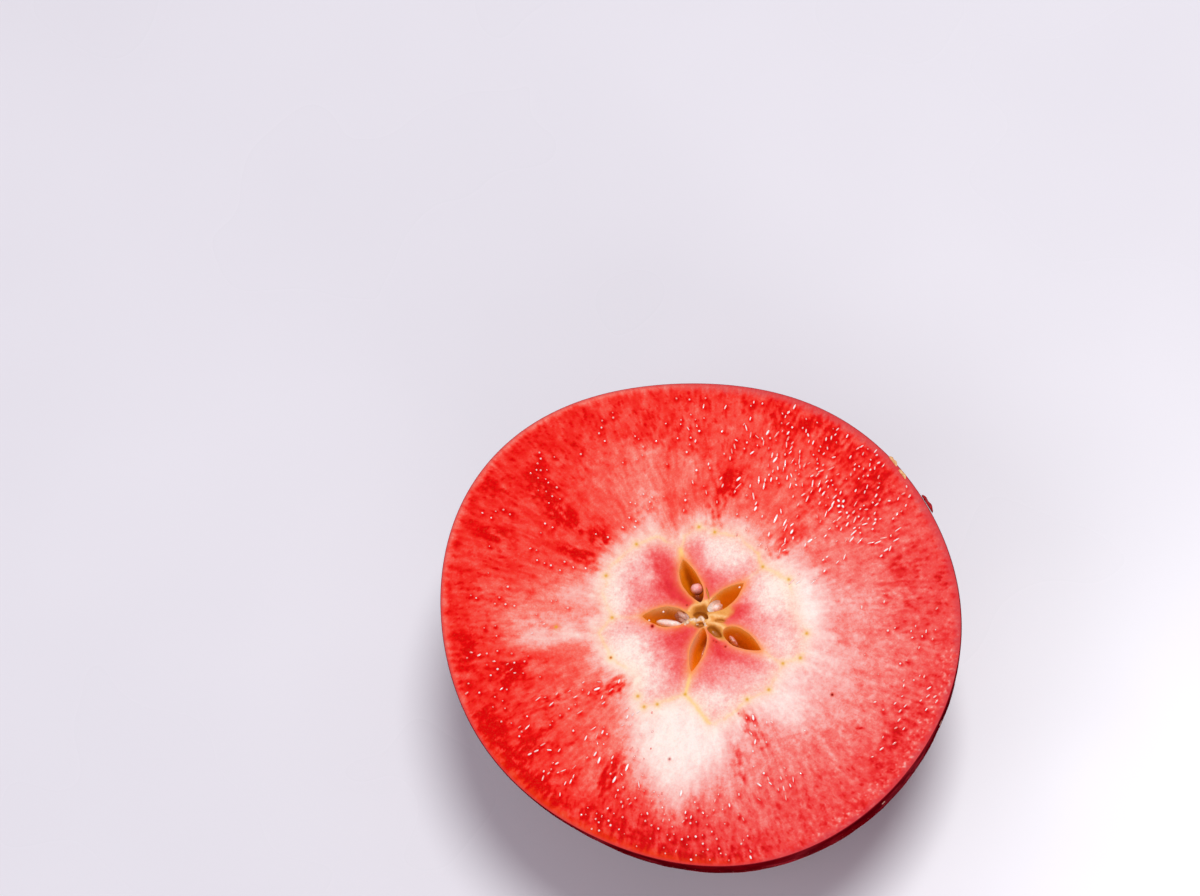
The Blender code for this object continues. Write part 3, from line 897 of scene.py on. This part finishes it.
def flesh_redness(x, y, drops):
    """How red the flesh is outside the core."""
    flat = np.stack([x, y, np.zeros_like(x)], axis=1)
    angle, radius = np.arctan2(y, x), np.hypot(x, y)
    edge = face_radius(angle) - radius
    wave = grain(flat, 3.4, 1)
    cloud = grain(flat, 2.4, 4, 3)
    mottle = grain(flat, 0.8, 5)
    wide = streaks(x, y, 1.3, 5.0, 2)
    thin = streaks(x, y, 0.5, 2.2, 3)
    out = radius - polar_line(CORE_LINE, angle) + 0.8 * wave + 0.5 * wide + 0.3 * mottle
    mid = MID_RED[0] + MID_RED[1] * toward(angle, MID_RED[2])
    rim = RIM_RED[0] + RIM_RED[1] * toward(angle, RIM_RED[2])
    least = 0.15 + 0.06 * toward(angle, 120)
    red = least + (mid - least) * smooth(-1.0, 6.0, out) + (rim - mid) * smooth(5.0, 23.0, out)
    keep = np.ones_like(x)
    for sizes in PALE:
        keep *= 1 - 1.02 * patch(x + 0.7 * wave + 0.2 * wide, y + 0.7 * cloud + 0.2 * thin, *sizes)
    red *= keep
    deep = sum(patch(x + 0.8 * wave, y + 0.8 * mottle, *sizes) for sizes in DEEP)
    red += 1.15 * deep * np.clip(0.85 + 1.3 * thin + 1.0 * mottle, 0, 2)
    mealy = toward(angle, -45) * 0.5 + 0.5
    stir = 0.075 * wide + (0.10 - 0.03 * mealy) * thin + 0.08 * cloud + 0.05 * mottle
    stir += (0.03 + 0.09 * mealy) * grain(flat, 0.6, 9)
    red += stir * (0.38 + 0.95 * np.clip(red, 0, 1))
    fleck = smooth(0.24, 0.62, streaks(x, y, 0.5, 1.1, 6) + 0.15 * wide)
    red += 0.17 * fleck * smooth(22.0, 5.0, edge) * smooth(2.0, 6.0, out) * np.clip(red * 1.5, 0, 1)
    # Painted shadow: the flesh is a deeper red in a small spot beside each drop of juice
    tree = tree_of([(drop[0] + DROP_SHADOW_SHIFT[0], drop[1] + DROP_SHADOW_SHIFT[1]) for drop in drops])
    near = np.array([tree.find((px, py, 0))[2] for px, py in zip(x.tolist(), y.tolist())])
    red += 0.26 * bell(near, 0.36) * np.clip(red * 1.6, 0, 1)
    scuff = smooth(0.22, 0.55, grain(flat, 0.55, 13, 3)) * smooth(4.2, 1.2, edge)
    red -= 0.34 * scuff * smooth(0.80, 0.95, toward(angle, -36))
    # A lighter band lies just under the skin at the top and left
    band = smooth(1.5, 0.4, edge + 0.3 * thin) * (0.5 + 0.5 * toward(angle, 120))
    red = red * (1 - band) + (0.52 + 0.08 * thin) * band
    return np.clip(red, 0, 1), wide, thin, mottle


def face_fields(x, y, drops):
    """Everything that colours the cut, for its material, and the height of the cut at each place."""
    flat = np.stack([x, y, np.zeros_like(x)], axis=1)
    plane = flat[:, :2]
    angle, radius = np.arctan2(y, x), np.hypot(x, y)
    edge = face_radius(angle) - radius
    red, wide, thin, mottle = flesh_redness(x, y, drops)
    fine = grain(flat, 0.35, 8)

    lip = np.full(len(x), 9.0)
    chamber_lip = np.full(len(x), 9.0)
    near = radius < CORE_REACH
    for name, ring in RINGS.items():
        gap = distance_to(plane[near], ring)
        lip[near] = np.minimum(lip[near], gap)
        if name in CHAMBERS:
            chamber_lip[near] = np.minimum(chamber_lip[near], gap)

    strength, reach, least = CORE_BLUSH
    rose = least + strength * np.exp(-((radius / reach) ** 2.2))
    rose += sum(patch(x + 0.5 * mottle, y + 0.5 * wide, *sizes) for sizes in ROSE)
    rose += 0.07 * mottle + 0.06 * fine + 0.05 * thin
    core = smooth(1.4, -1.2, radius - polar_line(CORE_LINE, angle) + 0.5 * mottle)

    bend = plane + 0.25 * np.stack([wide, mottle], axis=1)
    line_gap = distance_to(bend, CORE_LINE)
    broken = smooth(-0.5, 0.3, grain(flat, 3.0, 7))
    gold = 0.36 * bell(line_gap, 0.24) * broken + 0.14 * bell(line_gap, 1.3)
    for start, end, share in SUTURES:
        gap = distance_to(bend, (start, end), closed=False)
        gold = np.maximum(gold, share * bell(gap, 0.30) + 0.4 * share * bell(gap, 0.9))
    vein = np.zeros_like(x)
    for vein_x, vein_y in VEINS:
        gap = np.hypot(x - vein_x, y - vein_y)
        vein = np.maximum(vein, 0.95 * bell(gap, 0.25))
        halo = 0.55 if math.hypot(vein_x, vein_y) < 17 else 0.12
        gold = np.maximum(gold, halo * bell(gap, 0.75))
    speck, stain = np.zeros_like(x), np.zeros_like(x)
    for speck_x, speck_y, size, dark in SPECKS:
        gap = np.hypot(x - speck_x, y - speck_y)
        speck = np.maximum(speck, dark * smooth(size * 1.2, size * 0.6, gap))
        stain = np.maximum(stain, 0.75 * dark * smooth(size * 2.4, size, gap))

    rim = 0.82 * bell(chamber_lip, 0.30) * (0.8 + 0.4 * mottle)
    rim += 0.34 * bell(chamber_lip, 0.9)
    for _, (tip_x, tip_y), _, _, _ in CHAMBERS.values():
        rim += 0.28 * bell(np.hypot(x - tip_x, y - tip_y), 1.2)
    golden = np.maximum(*[patch(x, y, *sizes) for sizes in CORE_MIDDLE])
    pith = smooth(0.12, 0.55, golden + 0.08 * mottle)
    ridge = np.zeros_like(x)
    for run in RIDGES:
        gap = distance_to(bend, run, closed=False)
        ridge = np.maximum(ridge, bell(gap, 0.26))
    sunk = np.clip(sum(patch(x, y, *sizes) for sizes in SUNK), 0, 1)
    under_skin = 0.7 * smooth(0.45, 0.05, edge - SKIN_THICKNESS)
    upper, lower = smooth(0.45, 0.95, toward(angle, 48)), smooth(0.72, 0.92, toward(angle, -36))
    dusky = (0.62 + 0.25 * fine) * smooth(1.7, 0.4, edge + 0.4 * thin) * upper
    dusky += (0.60 + 0.25 * fine) * smooth(1.2, 0.3, edge + 0.5 * thin) * lower
    burnt = 0.66 * smooth(1.7, 0.3, edge + 0.9 * thin) * smooth(0.72, 0.96, toward(angle, 243))
    cool = smooth(-0.1, 0.8, toward(angle, -38)) * smooth(12.0, 16.0, radius)

    height = -0.02 + 0.022 * wide + 0.03 * thin + 0.022 * mottle
    height += 0.09 * bell(chamber_lip, 0.3) - 0.06 * bell(chamber_lip - 1.1, 0.7)
    height = height * (1 - pith) + (0.10 * ridge - 0.55 * sunk + 0.04 * fine) * pith
    height = np.where(edge < 0.9, height * smooth(SKIN_THICKNESS, 0.9, edge), height)
    return {
        "redness": red, "rose": np.clip(rose, 0, 1), "core": core, "gold": np.clip(gold, 0, 1), "vein": vein,
        "speck": speck, "tan": np.clip(rim, 0, 0.92), "pith": 0.95 * pith,
        # The olive middle is paler on its ridges and painted darker in its dips, as shade
        "ridge_pale_dip_shade": np.clip(0.60 + 0.24 * ridge - 0.48 * sunk + 0.06 * mottle, 0, 1),
        "under_skin": under_skin, "dusky": np.clip(dusky, 0, 1), "burnt": burnt, "cool": 0.9 * cool,
        "stain": stain,
    }, np.clip(height, -0.6, 0.12)


def cut_face(material, drops):
    """The cut, as a mesh of triangles that are finest in the core. Returns its corners and their heights."""
    turns = turns_round(RIM_POINTS)
    rim = polar(face_radius(turns) - SKIN_THICKNESS, turns)
    count = np.arange(FACE_POINTS)
    turns = count * math.pi * (3 - math.sqrt(5))
    radius = ((count + 0.5) / FACE_POINTS) ** CROWDING * (face_radius(turns) - SKIN_THICKNESS - 0.16)
    field = polar(radius, turns)
    near = np.hypot(field[:, 0], field[:, 1]) < CORE_REACH
    keep = np.ones(len(field), dtype=bool)
    for ring in RINGS.values():
        keep[near] &= (distance_to(field[near], ring) > 0.09) & ~inside(field[near], ring)
    points, edges = [], []
    for ring in (rim, *RINGS.values()):
        first = len(points)
        points += [*ring]
        edges += [(first + i, first + (i + 1) % len(ring)) for i in range(len(ring))]
    points += [*field[keep]]
    for x, y in [*VEINS, *[speck[:2] for speck in SPECKS]]:
        points.append((x, y))
        for reach in SPECK_RINGS:
            for a in turns_round(14) + reach:
                points.append((x + reach * math.cos(a), y + reach * math.sin(a)))
    flat = [Vector(p) for p in np.array(points).tolist()]
    corners, _, faces, _, _, _ = delaunay_2d_cdt(flat, edges, [], 0, 1e-7)
    corners = np.array([(p.x, p.y) for p in corners])
    faces = np.array([tuple(f) for f in faces])
    middles = corners[faces].mean(axis=1)
    core = np.hypot(middles[:, 0], middles[:, 1]) < CORE_REACH
    open_air = np.zeros(len(faces), dtype=bool)
    for ring in RINGS.values():
        open_air[core] |= inside(middles[core], ring)
    fields, height = face_fields(corners[:, 0], corners[:, 1], drops)
    points = np.column_stack([corners, FACE_Z + height])
    mesh_object("cut_face", points, faces[~open_air].tolist(), material, fields)
    return height, corners


def core_lining(material, height, corners):
    """The glossy walls of the chambers and hollows, which meet the cut at its own height."""
    tree = tree_of(corners.tolist())
    points, faces, depths, pith = [], [], [], []
    for name, (sizes, half, seed) in OPENINGS.items():
        chamber = name in CHAMBERS
        levels = 24 if chamber else 12
        lift = np.array([height[tree.find((x, y, 0))[1]] for x, y in RINGS[name].tolist()])
        depth = sizes[4]
        first = len(points)
        for level in range(levels + 1):
            share = level / levels
            ring = outline(sizes, half, share, seed)
            if not chamber:
                middle = RINGS[name].mean(axis=0)
                ring = middle + (RINGS[name] - middle) * math.cos(share * CHAMBER_CLOSING) ** 0.55
            drop = depth * math.sin(share * CHAMBER_CLOSING)
            fold = grain(np.column_stack([ring * 0.8, np.full(len(ring), drop * 0.5)]), 0.6, 60 + seed)
            ring = ring + (ring - ring.mean(axis=0)) * (0.035 * fold * min(1.0, 3 * share))[:, None]
            points += np.column_stack([ring, FACE_Z + lift * (1 - share) - drop]).tolist()
            depths += [share**0.9 if chamber else share * min(1.0, depth / 1.5)] * len(ring)
            pith += [0.0 if chamber else 1.0] * len(ring)
        count = 2 * half
        faces += [tuple(reversed(f)) for f in strip_faces(levels + 1, count, first)]
        faces.append(tuple(first + levels * count + i for i in range(count)))
    x, y, _ = np.array(points).T
    depths = np.array(depths)
    cream, maroon_shade = (sum(patch(x, y, *sizes) for sizes in walls) for walls in (PALE_AND_LIT_WALLS, MAROON_SHADE_WALLS))
    mesh_object("core_lining", points, faces, material, {
        "depth": depths, "pith": pith,
        "cream": np.clip(cream * smooth(0.55, 0.1, depths), 0, 1),
        "maroon_shade": np.clip(maroon_shade * smooth(0.02, 0.2, depths), 0, 1),
    })


# The skin


def lobe(angle):
    """1 on a lobe of the crown, and 0 between two lobes."""
    return (1 + toward(LOBES * angle, LOBES * LOBE_DIRECTION)) / 2


def crown(angle):
    """Radius and height of the crown on which the half rests."""
    return CROWN_RADIUS + (face_radius(angle) - FACE_RADIUS) / 3, LOBE_DROP * (1 - lobe(angle)) - FLAT_SPOT


def skin_place(angle, part, turn):
    """Radius and height on the skin: part is edge, side or basin, and turn goes from 0 to 1 along it."""
    inner, low = crown(angle)
    if part == "edge":
        inward = 0.2 * EDGE_ROUND * (1 - math.sin(turn * math.pi / 2))
        return face_radius(angle) - inward, FACE_Z - 0.8 * EDGE_ROUND * (1 - math.cos(turn * math.pi / 2))
    if part == "side":
        rib = 1 + RIB_DEPTH * smooth(0, 1, turn) * (lobe(angle) - 0.5)
        across = math.cos(turn * math.pi / 2) ** CONE
        down = math.sin(turn * math.pi / 2) ** FULLNESS
        radius = (inner + (face_radius(angle) - inner) * across) * rib
        return radius, low + (HEIGHT - EDGE_ROUND - low) * (1 - down)
    rib = 1 + RIB_DEPTH * (1 - turn) * (lobe(angle) - 0.5)
    return inner * rib * (1 - turn * (1 - BASIN_FLOOR)), low + (BASIN_DEPTH - low) * smooth(0, 1, turn)


def dents(points):
    """How far the skin stands out at these points, by its slight unevenness."""
    push = 0.10 * grain(points, 7.0, 21) + 0.03 * grain(points, 2.0, 22) - 0.09
    return push * smooth(0.3, 2.0, points[:, 2])


def skin(material):
    """The skin from its cut edge down the side and into the basin, in rows of points all the way round."""
    count = RIM_POINTS
    turns = turns_round(count)
    stations = [(part, i / rows) for part, rows in SKIN_ROWS for i in range(rows)] + [("basin", 1.0)]
    rows = [(face_radius(turns) - SKIN_THICKNESS, np.full(count, FACE_Z), -0.1)]
    for part, turn in stations:
        radius, height = skin_place(turns, part, turn)
        place = {"edge": 0.1 * turn - 0.1, "side": turn, "basin": 1 + turn}[part]
        rows.append((radius - SKIN_INSET, np.maximum(height + np.zeros(count), 0.0), place))
    points = np.concatenate([np.column_stack([polar(radius, turns), z]) for radius, z, _ in rows])
    along = np.repeat([place for _, _, place in rows], count)
    angle = np.tile(turns, len(rows))
    dent = dents(points) * smooth(0.0, 0.08, along)
    points[:, 0] += dent * np.cos(angle)
    points[:, 1] += dent * np.sin(angle)
    faces = strip_faces(len(rows), count)
    faces.append(tuple((len(rows) - 1) * count + i for i in range(count)))
    turned = np.column_stack([polar(22, angle), along * 3.2])
    russet = 0.62 * smooth(1.15, 1.7, along)
    russet += 0.35 * smooth(0.72, 1.1, along) * smooth(-0.2, 0.6, grain(points, 5.0, 25, 4))
    side_patch = np.clip(toward(angle, 160), 0, 1) ** 3 * smooth(0.25, 0.6, along) * smooth(0.95, 0.6, along)
    # The shine is rubbed dull just under the cut, most of all at its upper edge
    below = HEIGHT - points[:, 2]
    shiny = smooth(10.0, 25.0, below) + 0.75 * smooth(0.6, -0.3, toward(angle, -75))
    mesh_object("skin", points, faces, material, {
        "flame": smooth(0.05, 0.6, grain(turned, 1.0, 23, 3)) * smooth(0.0, 0.3, along) * 0.8,
        "blush": smooth(0.05, 0.7, grain(points, 12.0, 24, 3)) * 0.7,
        "russet": russet + 0.42 * side_patch * smooth(-0.1, 0.5, grain(points, 2.2, 26, 4)),
        "scarf": smooth(0.0, 0.5, grain(points, 9.0, 27, 3)) * smooth(0.05, 0.3, along) * 0.8,
        "cut_edge": smooth(0.0, -0.08, along),
        "gloss": np.clip(shiny, 0.0, 1.0) * smooth(0.0, 1.2, below),
    })


def skin_frame(angle, turn):
    """A point on the side, with the directions round it, down it and out of it."""
    def at(a, t):
        radius, height = skin_place(a, "side", t)
        return np.array([radius * math.cos(a), radius * math.sin(a), height])
    here = at(angle, turn)
    round_it = at(angle + 0.002, turn) - here
    down_it = at(angle, min(turn + 0.002, 1.0)) - at(angle, turn - 0.002)
    round_it /= np.linalg.norm(round_it)
    outward = np.cross(down_it, round_it)
    outward /= np.linalg.norm(outward)
    return here, round_it, np.cross(outward, round_it), outward


def lenticels(material):
    """The pale corky dots on the skin, many of them rings, larger and sparser towards the cut."""
    draw = random.Random(5)
    points, faces, ring_share, placed, home = [], [], [], [], []
    for _ in range(LENTICEL_TRIES):
        if len(placed) == LENTICELS:
            break
        turn, angle = 0.03 + 0.94 * draw.random() ** 0.9, draw.random() * 2 * math.pi
        radius, _ = skin_place(angle, "side", turn)
        if draw.random() > radius / 40:
            continue
        large = draw.random() < 0.12
        size = draw.uniform(0.30, 0.52) * (1.1 - 0.45 * turn) if large else draw.uniform(0.10, 0.22)
        here, round_it, down_it, outward = skin_frame(angle, turn)
        others = np.array([p for p, _ in placed]).reshape(-1, 3)
        sizes = np.array([s for _, s in placed])
        if len(others) and np.any(np.linalg.norm(others - here, axis=1) < 0.7 + 3.0 * (size + sizes)):
            continue
        placed.append((here, size))
        sides = 18 if large else 8
        stretch = draw.uniform(0.95, 1.25)
        hollow = large and draw.random() < 0.75
        levels = LARGE_LENTICEL if large else SMALL_LENTICEL
        first = len(points)
        points.append(here + outward * (levels[0][1] - 0.03))
        ring_share.append(0.9 if hollow else 0.0)
        for reach, rise in levels[1:]:
            for a in turns_round(sides):
                wobble = size * reach * (1 + 0.05 * math.sin(3 * a + size * 40))
                step = round_it * math.cos(a) * wobble + down_it * math.sin(a) * wobble * stretch
                points.append(here + step + outward * (rise - 0.03))
                ring_share.append(0.9 if hollow and reach < 0.5 else 0.0)
        home += [len(placed) - 1] * (1 + sides * (len(levels) - 1))
        faces += [(first, first + 1 + i, first + 1 + (i + 1) % sides) for i in range(sides)]
        faces += [tuple(reversed(f)) for f in strip_faces(len(levels) - 1, sides, first + 1)]
    points = np.array(points)
    middles = np.array([p for p, _ in placed])
    push = dents(middles)[home] / np.hypot(middles[:, 0], middles[:, 1])[home]
    points[:, :2] += middles[home, :2] * push[:, None]
    points[:, 2] = np.maximum(points[:, 2], 0.01)
    mesh_object("lenticels", points, faces, material, {"ring": ring_share})


def dried_sepals(material):
    """Five dried sepals in the basin."""
    points, faces = [], []
    steps, sides = 26, 18
    for index in range(LOBES):
        angle = math.radians(LOBE_DIRECTION) + 2 * math.pi * (index + 0.5) / LOBES
        out, across = directions(angle)
        first = len(points)
        for step in range(steps + 1):
            share = step / steps
            reach = SEPAL_LENGTH * share - SEPAL_ROOT
            lean = SEPAL_RING * (1 - 0.75 * share**2)
            curl = 0.18 * math.sin(5 * share + index * 1.7) * share
            middle = out * lean + across * curl + np.array([0, 0, BASIN_DEPTH - reach])
            width = SEPAL_WIDTH / 2 * (1 - 0.85 * share**1.5)
            thickness = SEPAL_THICKNESS / 2 * (1 - 0.6 * share)
            for a in turns_round(sides):
                crease = 1 - 0.35 * abs(math.cos(2.5 * a + index)) * share
                points.append(middle + across * width * math.cos(a) * crease + out * thickness * math.sin(a))
        faces += tube_faces(steps + 1, sides, first)
    mesh_object("sepals", roughen(points, 0.05, 0.5, 31), faces, material)


# Small things on the cut and in the core


def juice(material, drops):
    """The drops of juice as one mesh: those that stand on the cut, and a few on the chambers' walls. Their
    near-white colour is a painted highlight.
    """
    segments, rings = 12, 7
    points, faces, painted_glint = [], [], []
    items = [(0.05, 0.12, drop) for drop in drops]
    items += [(-0.35, 0.16, (x, y, 30, 0.34, 0.30, 0.8)) for x, y in CHAMBER_DROPS]
    for z, height, (x, y, direction, length, width, light) in items:
        first = len(points)
        along, aside = directions(math.radians(direction))
        along, aside = along * length / 2, aside * width / 2
        middle, up = np.array([x, y, FACE_Z + z]), np.array([0, 0, height])
        points.append(middle + up)
        for r in range(1, rings):
            lean = math.pi * r / rings
            reach = math.sin(lean)
            for a in turns_round(segments):
                out = along * reach * math.cos(a) + aside * reach * math.sin(a)
                points.append(middle + out + up * math.cos(lean))
        points.append(middle - up)
        last = len(points) - 1
        base = first + 1 + (rings - 2) * segments
        for s in range(segments):
            faces.append((first, first + 1 + s, first + 1 + (s + 1) % segments))
            faces.append((last, base + (s + 1) % segments, base + s))
        faces += strip_faces(rings - 1, segments, first + 1)
        painted_glint += [light] * (last + 1 - first)
    mesh_object("juice", points, faces, material, {"painted_glint": painted_glint})


def threads(name, runs, material):
    """Ragged threads through named points: place, depth below the cut, and thickness at each."""
    points, faces = [], []
    sides = 14
    for run in runs:
        knots = np.array([(x, y, FACE_Z - below - 0.05, 1.25 * size) for x, y, below, size in run])
        share = np.linspace(0, len(knots) - 1, 10 * len(knots))
        path = np.stack([np.interp(share, range(len(knots)), knots[:, axis]) for axis in range(4)], axis=1)
        ahead = np.gradient(path[:, :3], axis=0)
        ahead /= np.linalg.norm(ahead, axis=1)[:, None]
        taper = np.sin(np.pi * np.linspace(0.02, 0.98, len(path))) ** 0.35
        first = len(points)
        for (x, y, z, size), forward, thin in zip(path, ahead, taper):
            aside = np.cross(forward, (0, 0, 1))
            aside /= np.linalg.norm(aside)
            up = np.cross(aside, forward)
            for a in turns_round(sides):
                out = aside * math.cos(a) + up * math.sin(a)
                points.append(np.array([x, y, z]) + size * thin / 2 * out)
        faces += tube_faces(len(path), sides, first)
    weld(mesh_object(name, roughen(points, 0.08, 0.4, 51), faces, material))


def silky_skin(name, deepest, sweep, material):
    """A thin silky skin that closes a chamber's inner end and dives between its seed and its wall."""
    rows, columns = 20, 25
    side = np.linspace(-0.98, 0.98, columns)
    points = []
    for row in range(rows):
        down = row / (rows - 1)
        tongue = 0.85 - sweep * side - 0.25 * side**2 + 0.06 * np.sin(7 * side)
        flat = chamber_place(CHAMBERS[name], 0.0, 0.02 + 0.36 * down * tongue, side)
        drop = 0.18 + deepest * down**1.6 - 0.22 * np.abs(side) ** 3
        fold = 0.16 * np.sin(6 * side + 2.0 * down + len(name)) * down
        points += np.column_stack([flat, FACE_Z - drop + fold]).tolist()
    # A second layer just below gives the skin its thickness
    back = [(x, y, z - 0.07) for x, y, z in points]
    count = rows * columns
    faces = strip_faces(rows, columns, 0, closed=False)
    faces += [tuple(reversed(f)) for f in strip_faces(rows, columns, count, closed=False)]
    border = [*range(columns), *[r * columns + columns - 1 for r in range(1, rows)],
              *[count - 2 - i for i in range(columns - 1)], *[r * columns for r in range(rows - 2, 0, -1)]]
    faces += [(a, b, b + count, a + count) for a, b in zip(border, border[1:] + border[:1])]
    weld(mesh_object("silk_" + name, points + back, faces, material))


def flake(name, start, end, width, material, rise=0.0):
    """A torn sliver of skin that stands out from the rim, thick in the middle and pointed at both ends."""
    start, end = np.array(start), np.array(end)
    along = end - start
    outward = np.array([along[1], -along[0]]) / np.hypot(*along)
    if outward @ (start + end) < 0:
        outward = -outward
    steps = 16
    points = []
    for share in np.arange(steps + 1) / steps:
        half = width * math.sin(math.pi * share) ** 0.7 * (1 + 0.3 * math.sin(11 * share)) + 0.01
        middle = start + along * share
        inner, outer = middle - outward * 0.12, middle + outward * half * 0.35 * 2
        low, high = FACE_Z - 0.5, min(FACE_Z + rise + half * 0.2, HEIGHT - 0.01)
        crest = outer + outward * 0.06
        points += [(*inner, low), (*outer, low + 0.1), (*crest, high), (*inner, high - 0.05)]
    faces = strip_faces(steps + 1, 4)
    faces += [(3, 2, 1, 0), tuple(4 * steps + i for i in range(4))]
    weld(mesh_object(name, points, faces, material))


def seed(name, material):
    """One seed, in its solid's place, a little wrinkled and pointed."""
    place, direction, length, width, height, below = SEEDS[name]
    segments, rings = 40, 28
    turn = math.radians(direction)
    points = []
    for r in range(rings + 1):
        lean = math.pi * r / rings
        z = 0.5 * math.cos(lean)
        narrow = 1 - SEED_TAPER * (0.5 - z) ** 2
        reach = 0.5 * abs(math.sin(lean)) ** 0.75 * narrow
        for a in turns_round(segments):
            points.append((reach * math.cos(a) * length, reach * math.sin(a) * width, z * height))
    points = np.array(points)
    wrinkle = grain(points * (1.6, 1.6, 0.7), 0.8, 70 + len(name), 3)
    points *= (1 + 0.04 * wrinkle)[:, None]
    x = points[:, 0] * math.cos(turn) - points[:, 1] * math.sin(turn) + place[0]
    y = points[:, 0] * math.sin(turn) + points[:, 1] * math.cos(turn) + place[1]
    z = points[:, 2] + HEIGHT - below - height / 2
    # Painted shade: the coat darkens low down, deep in its chamber
    fields = {"shade": 0.9 * smooth(0.9, 1.7, HEIGHT - below - z)}
    points, faces = np.stack([x, y, z], axis=1), strip_faces(rings + 1, segments)
    weld(mesh_object(name + "_coat", points, faces, material, fields, name))


# Floor, light and camera


def studio():
    scene = bpy.context.scene
    scene.view_settings.view_transform = "Standard"
    bpy.ops.mesh.primitive_plane_add(size=6, location=(0, 0, -FLOOR_GAP))
    floor = bpy.context.active_object
    floor.name = "floor"
    floor.data.materials.append(floor_material())
    world = bpy.data.worlds.new("soft_room")
    scene.world = world
    world.use_nodes = True
    background = world.node_tree.nodes["Background"]
    background.inputs["Color"].default_value = ROOM_COLOUR
    background.inputs["Strength"].default_value = ROOM_LIGHT
    for name, place, size, power, colour in LAMPS:
        data = bpy.data.lights.new(name, "AREA")
        data.shape = "DISK"
        data.size = size
        data.energy = power
        data.color = colour
        lamp = bpy.data.objects.new(name, data)
        lamp.location = place
        lamp.rotation_euler = (Vector(LAMP_AIM) - Vector(place)).to_track_quat("-Z", "Y").to_euler()
        scene.collection.objects.link(lamp)


def camera():
    """The photograph's view of the cut, with its right and up along +X and +Y."""
    tilt, turn = math.radians(CAMERA_TILT), math.radians(CAMERA_TURN)
    core = Vector((AXIS[0] * MM, AXIS[1] * MM, HEIGHT * MM))
    away = Vector((math.sin(tilt) * math.sin(turn), -math.sin(tilt) * math.cos(turn), math.cos(tilt)))
    place = core + away * CAMERA_DISTANCE
    target = core + Vector(CAMERA_AIM) * MM
    forward = (target - place).normalized()
    right = forward.cross(Vector((0, 1, 0))).normalized()
    up = right.cross(forward)
    data = bpy.data.cameras.new("camera")
    data.lens = CAMERA_LENS
    data.sensor_width = 36
    data.clip_start = 0.01
    made = bpy.data.objects.new("camera", data)
    made.matrix_world = Matrix.Translation(place) @ Matrix((right, up, -forward)).transposed().to_4x4()
    bpy.context.scene.collection.objects.link(made)
    bpy.context.scene.camera = made


def main():
    camera()
    studio()
    drops = juice_drops()
    height, corners = cut_face(flesh_material(), drops)
    core_lining(lining_material(), height, corners)
    juice(juice_material(), drops)
    threads("core_threads", CORE_THREADS, tissue_material("ragged_core_tissue"))
    mauve = tissue_material("mauve_silky_skin", 1.4)
    silky_skin("left", 2.6, 0.3, mauve)
    silky_skin("upper_right", 3.0, -0.5, tissue_material("white_silky_skin", 1.4))
    threads("silk_folds", SILK_FOLDS, mauve)
    skin(skin_material())
    lenticels(lenticel_material())
    dried_sepals(dried_material())
    tan, red = torn_material("torn_tan_skin", TORN_TAN_STEPS), torn_material("torn_red_skin", TORN_RED_STEPS)
    flake("chip_upper", (27.7, 23.3), (28.7, 21.8), 0.36, tan, 0.12)
    flake("chip_lower", (29.0, 21.2), (29.9, 19.8), 0.34, tan, 0.12)
    flake("torn_flap", (32.2, 17.2), (33.6, 14.6), 0.40, red)
    seed("seed_upper", tissue_material("pink_seed_coat", 0.8))
    seed("seed_left", tissue_material("white_seed_coat", 0.8))
    seed("seed_upper_right", tissue_material("pale_seed_coat"))
    seed("seed_lower_right", tissue_material("blushed_seed_coat"))


main()
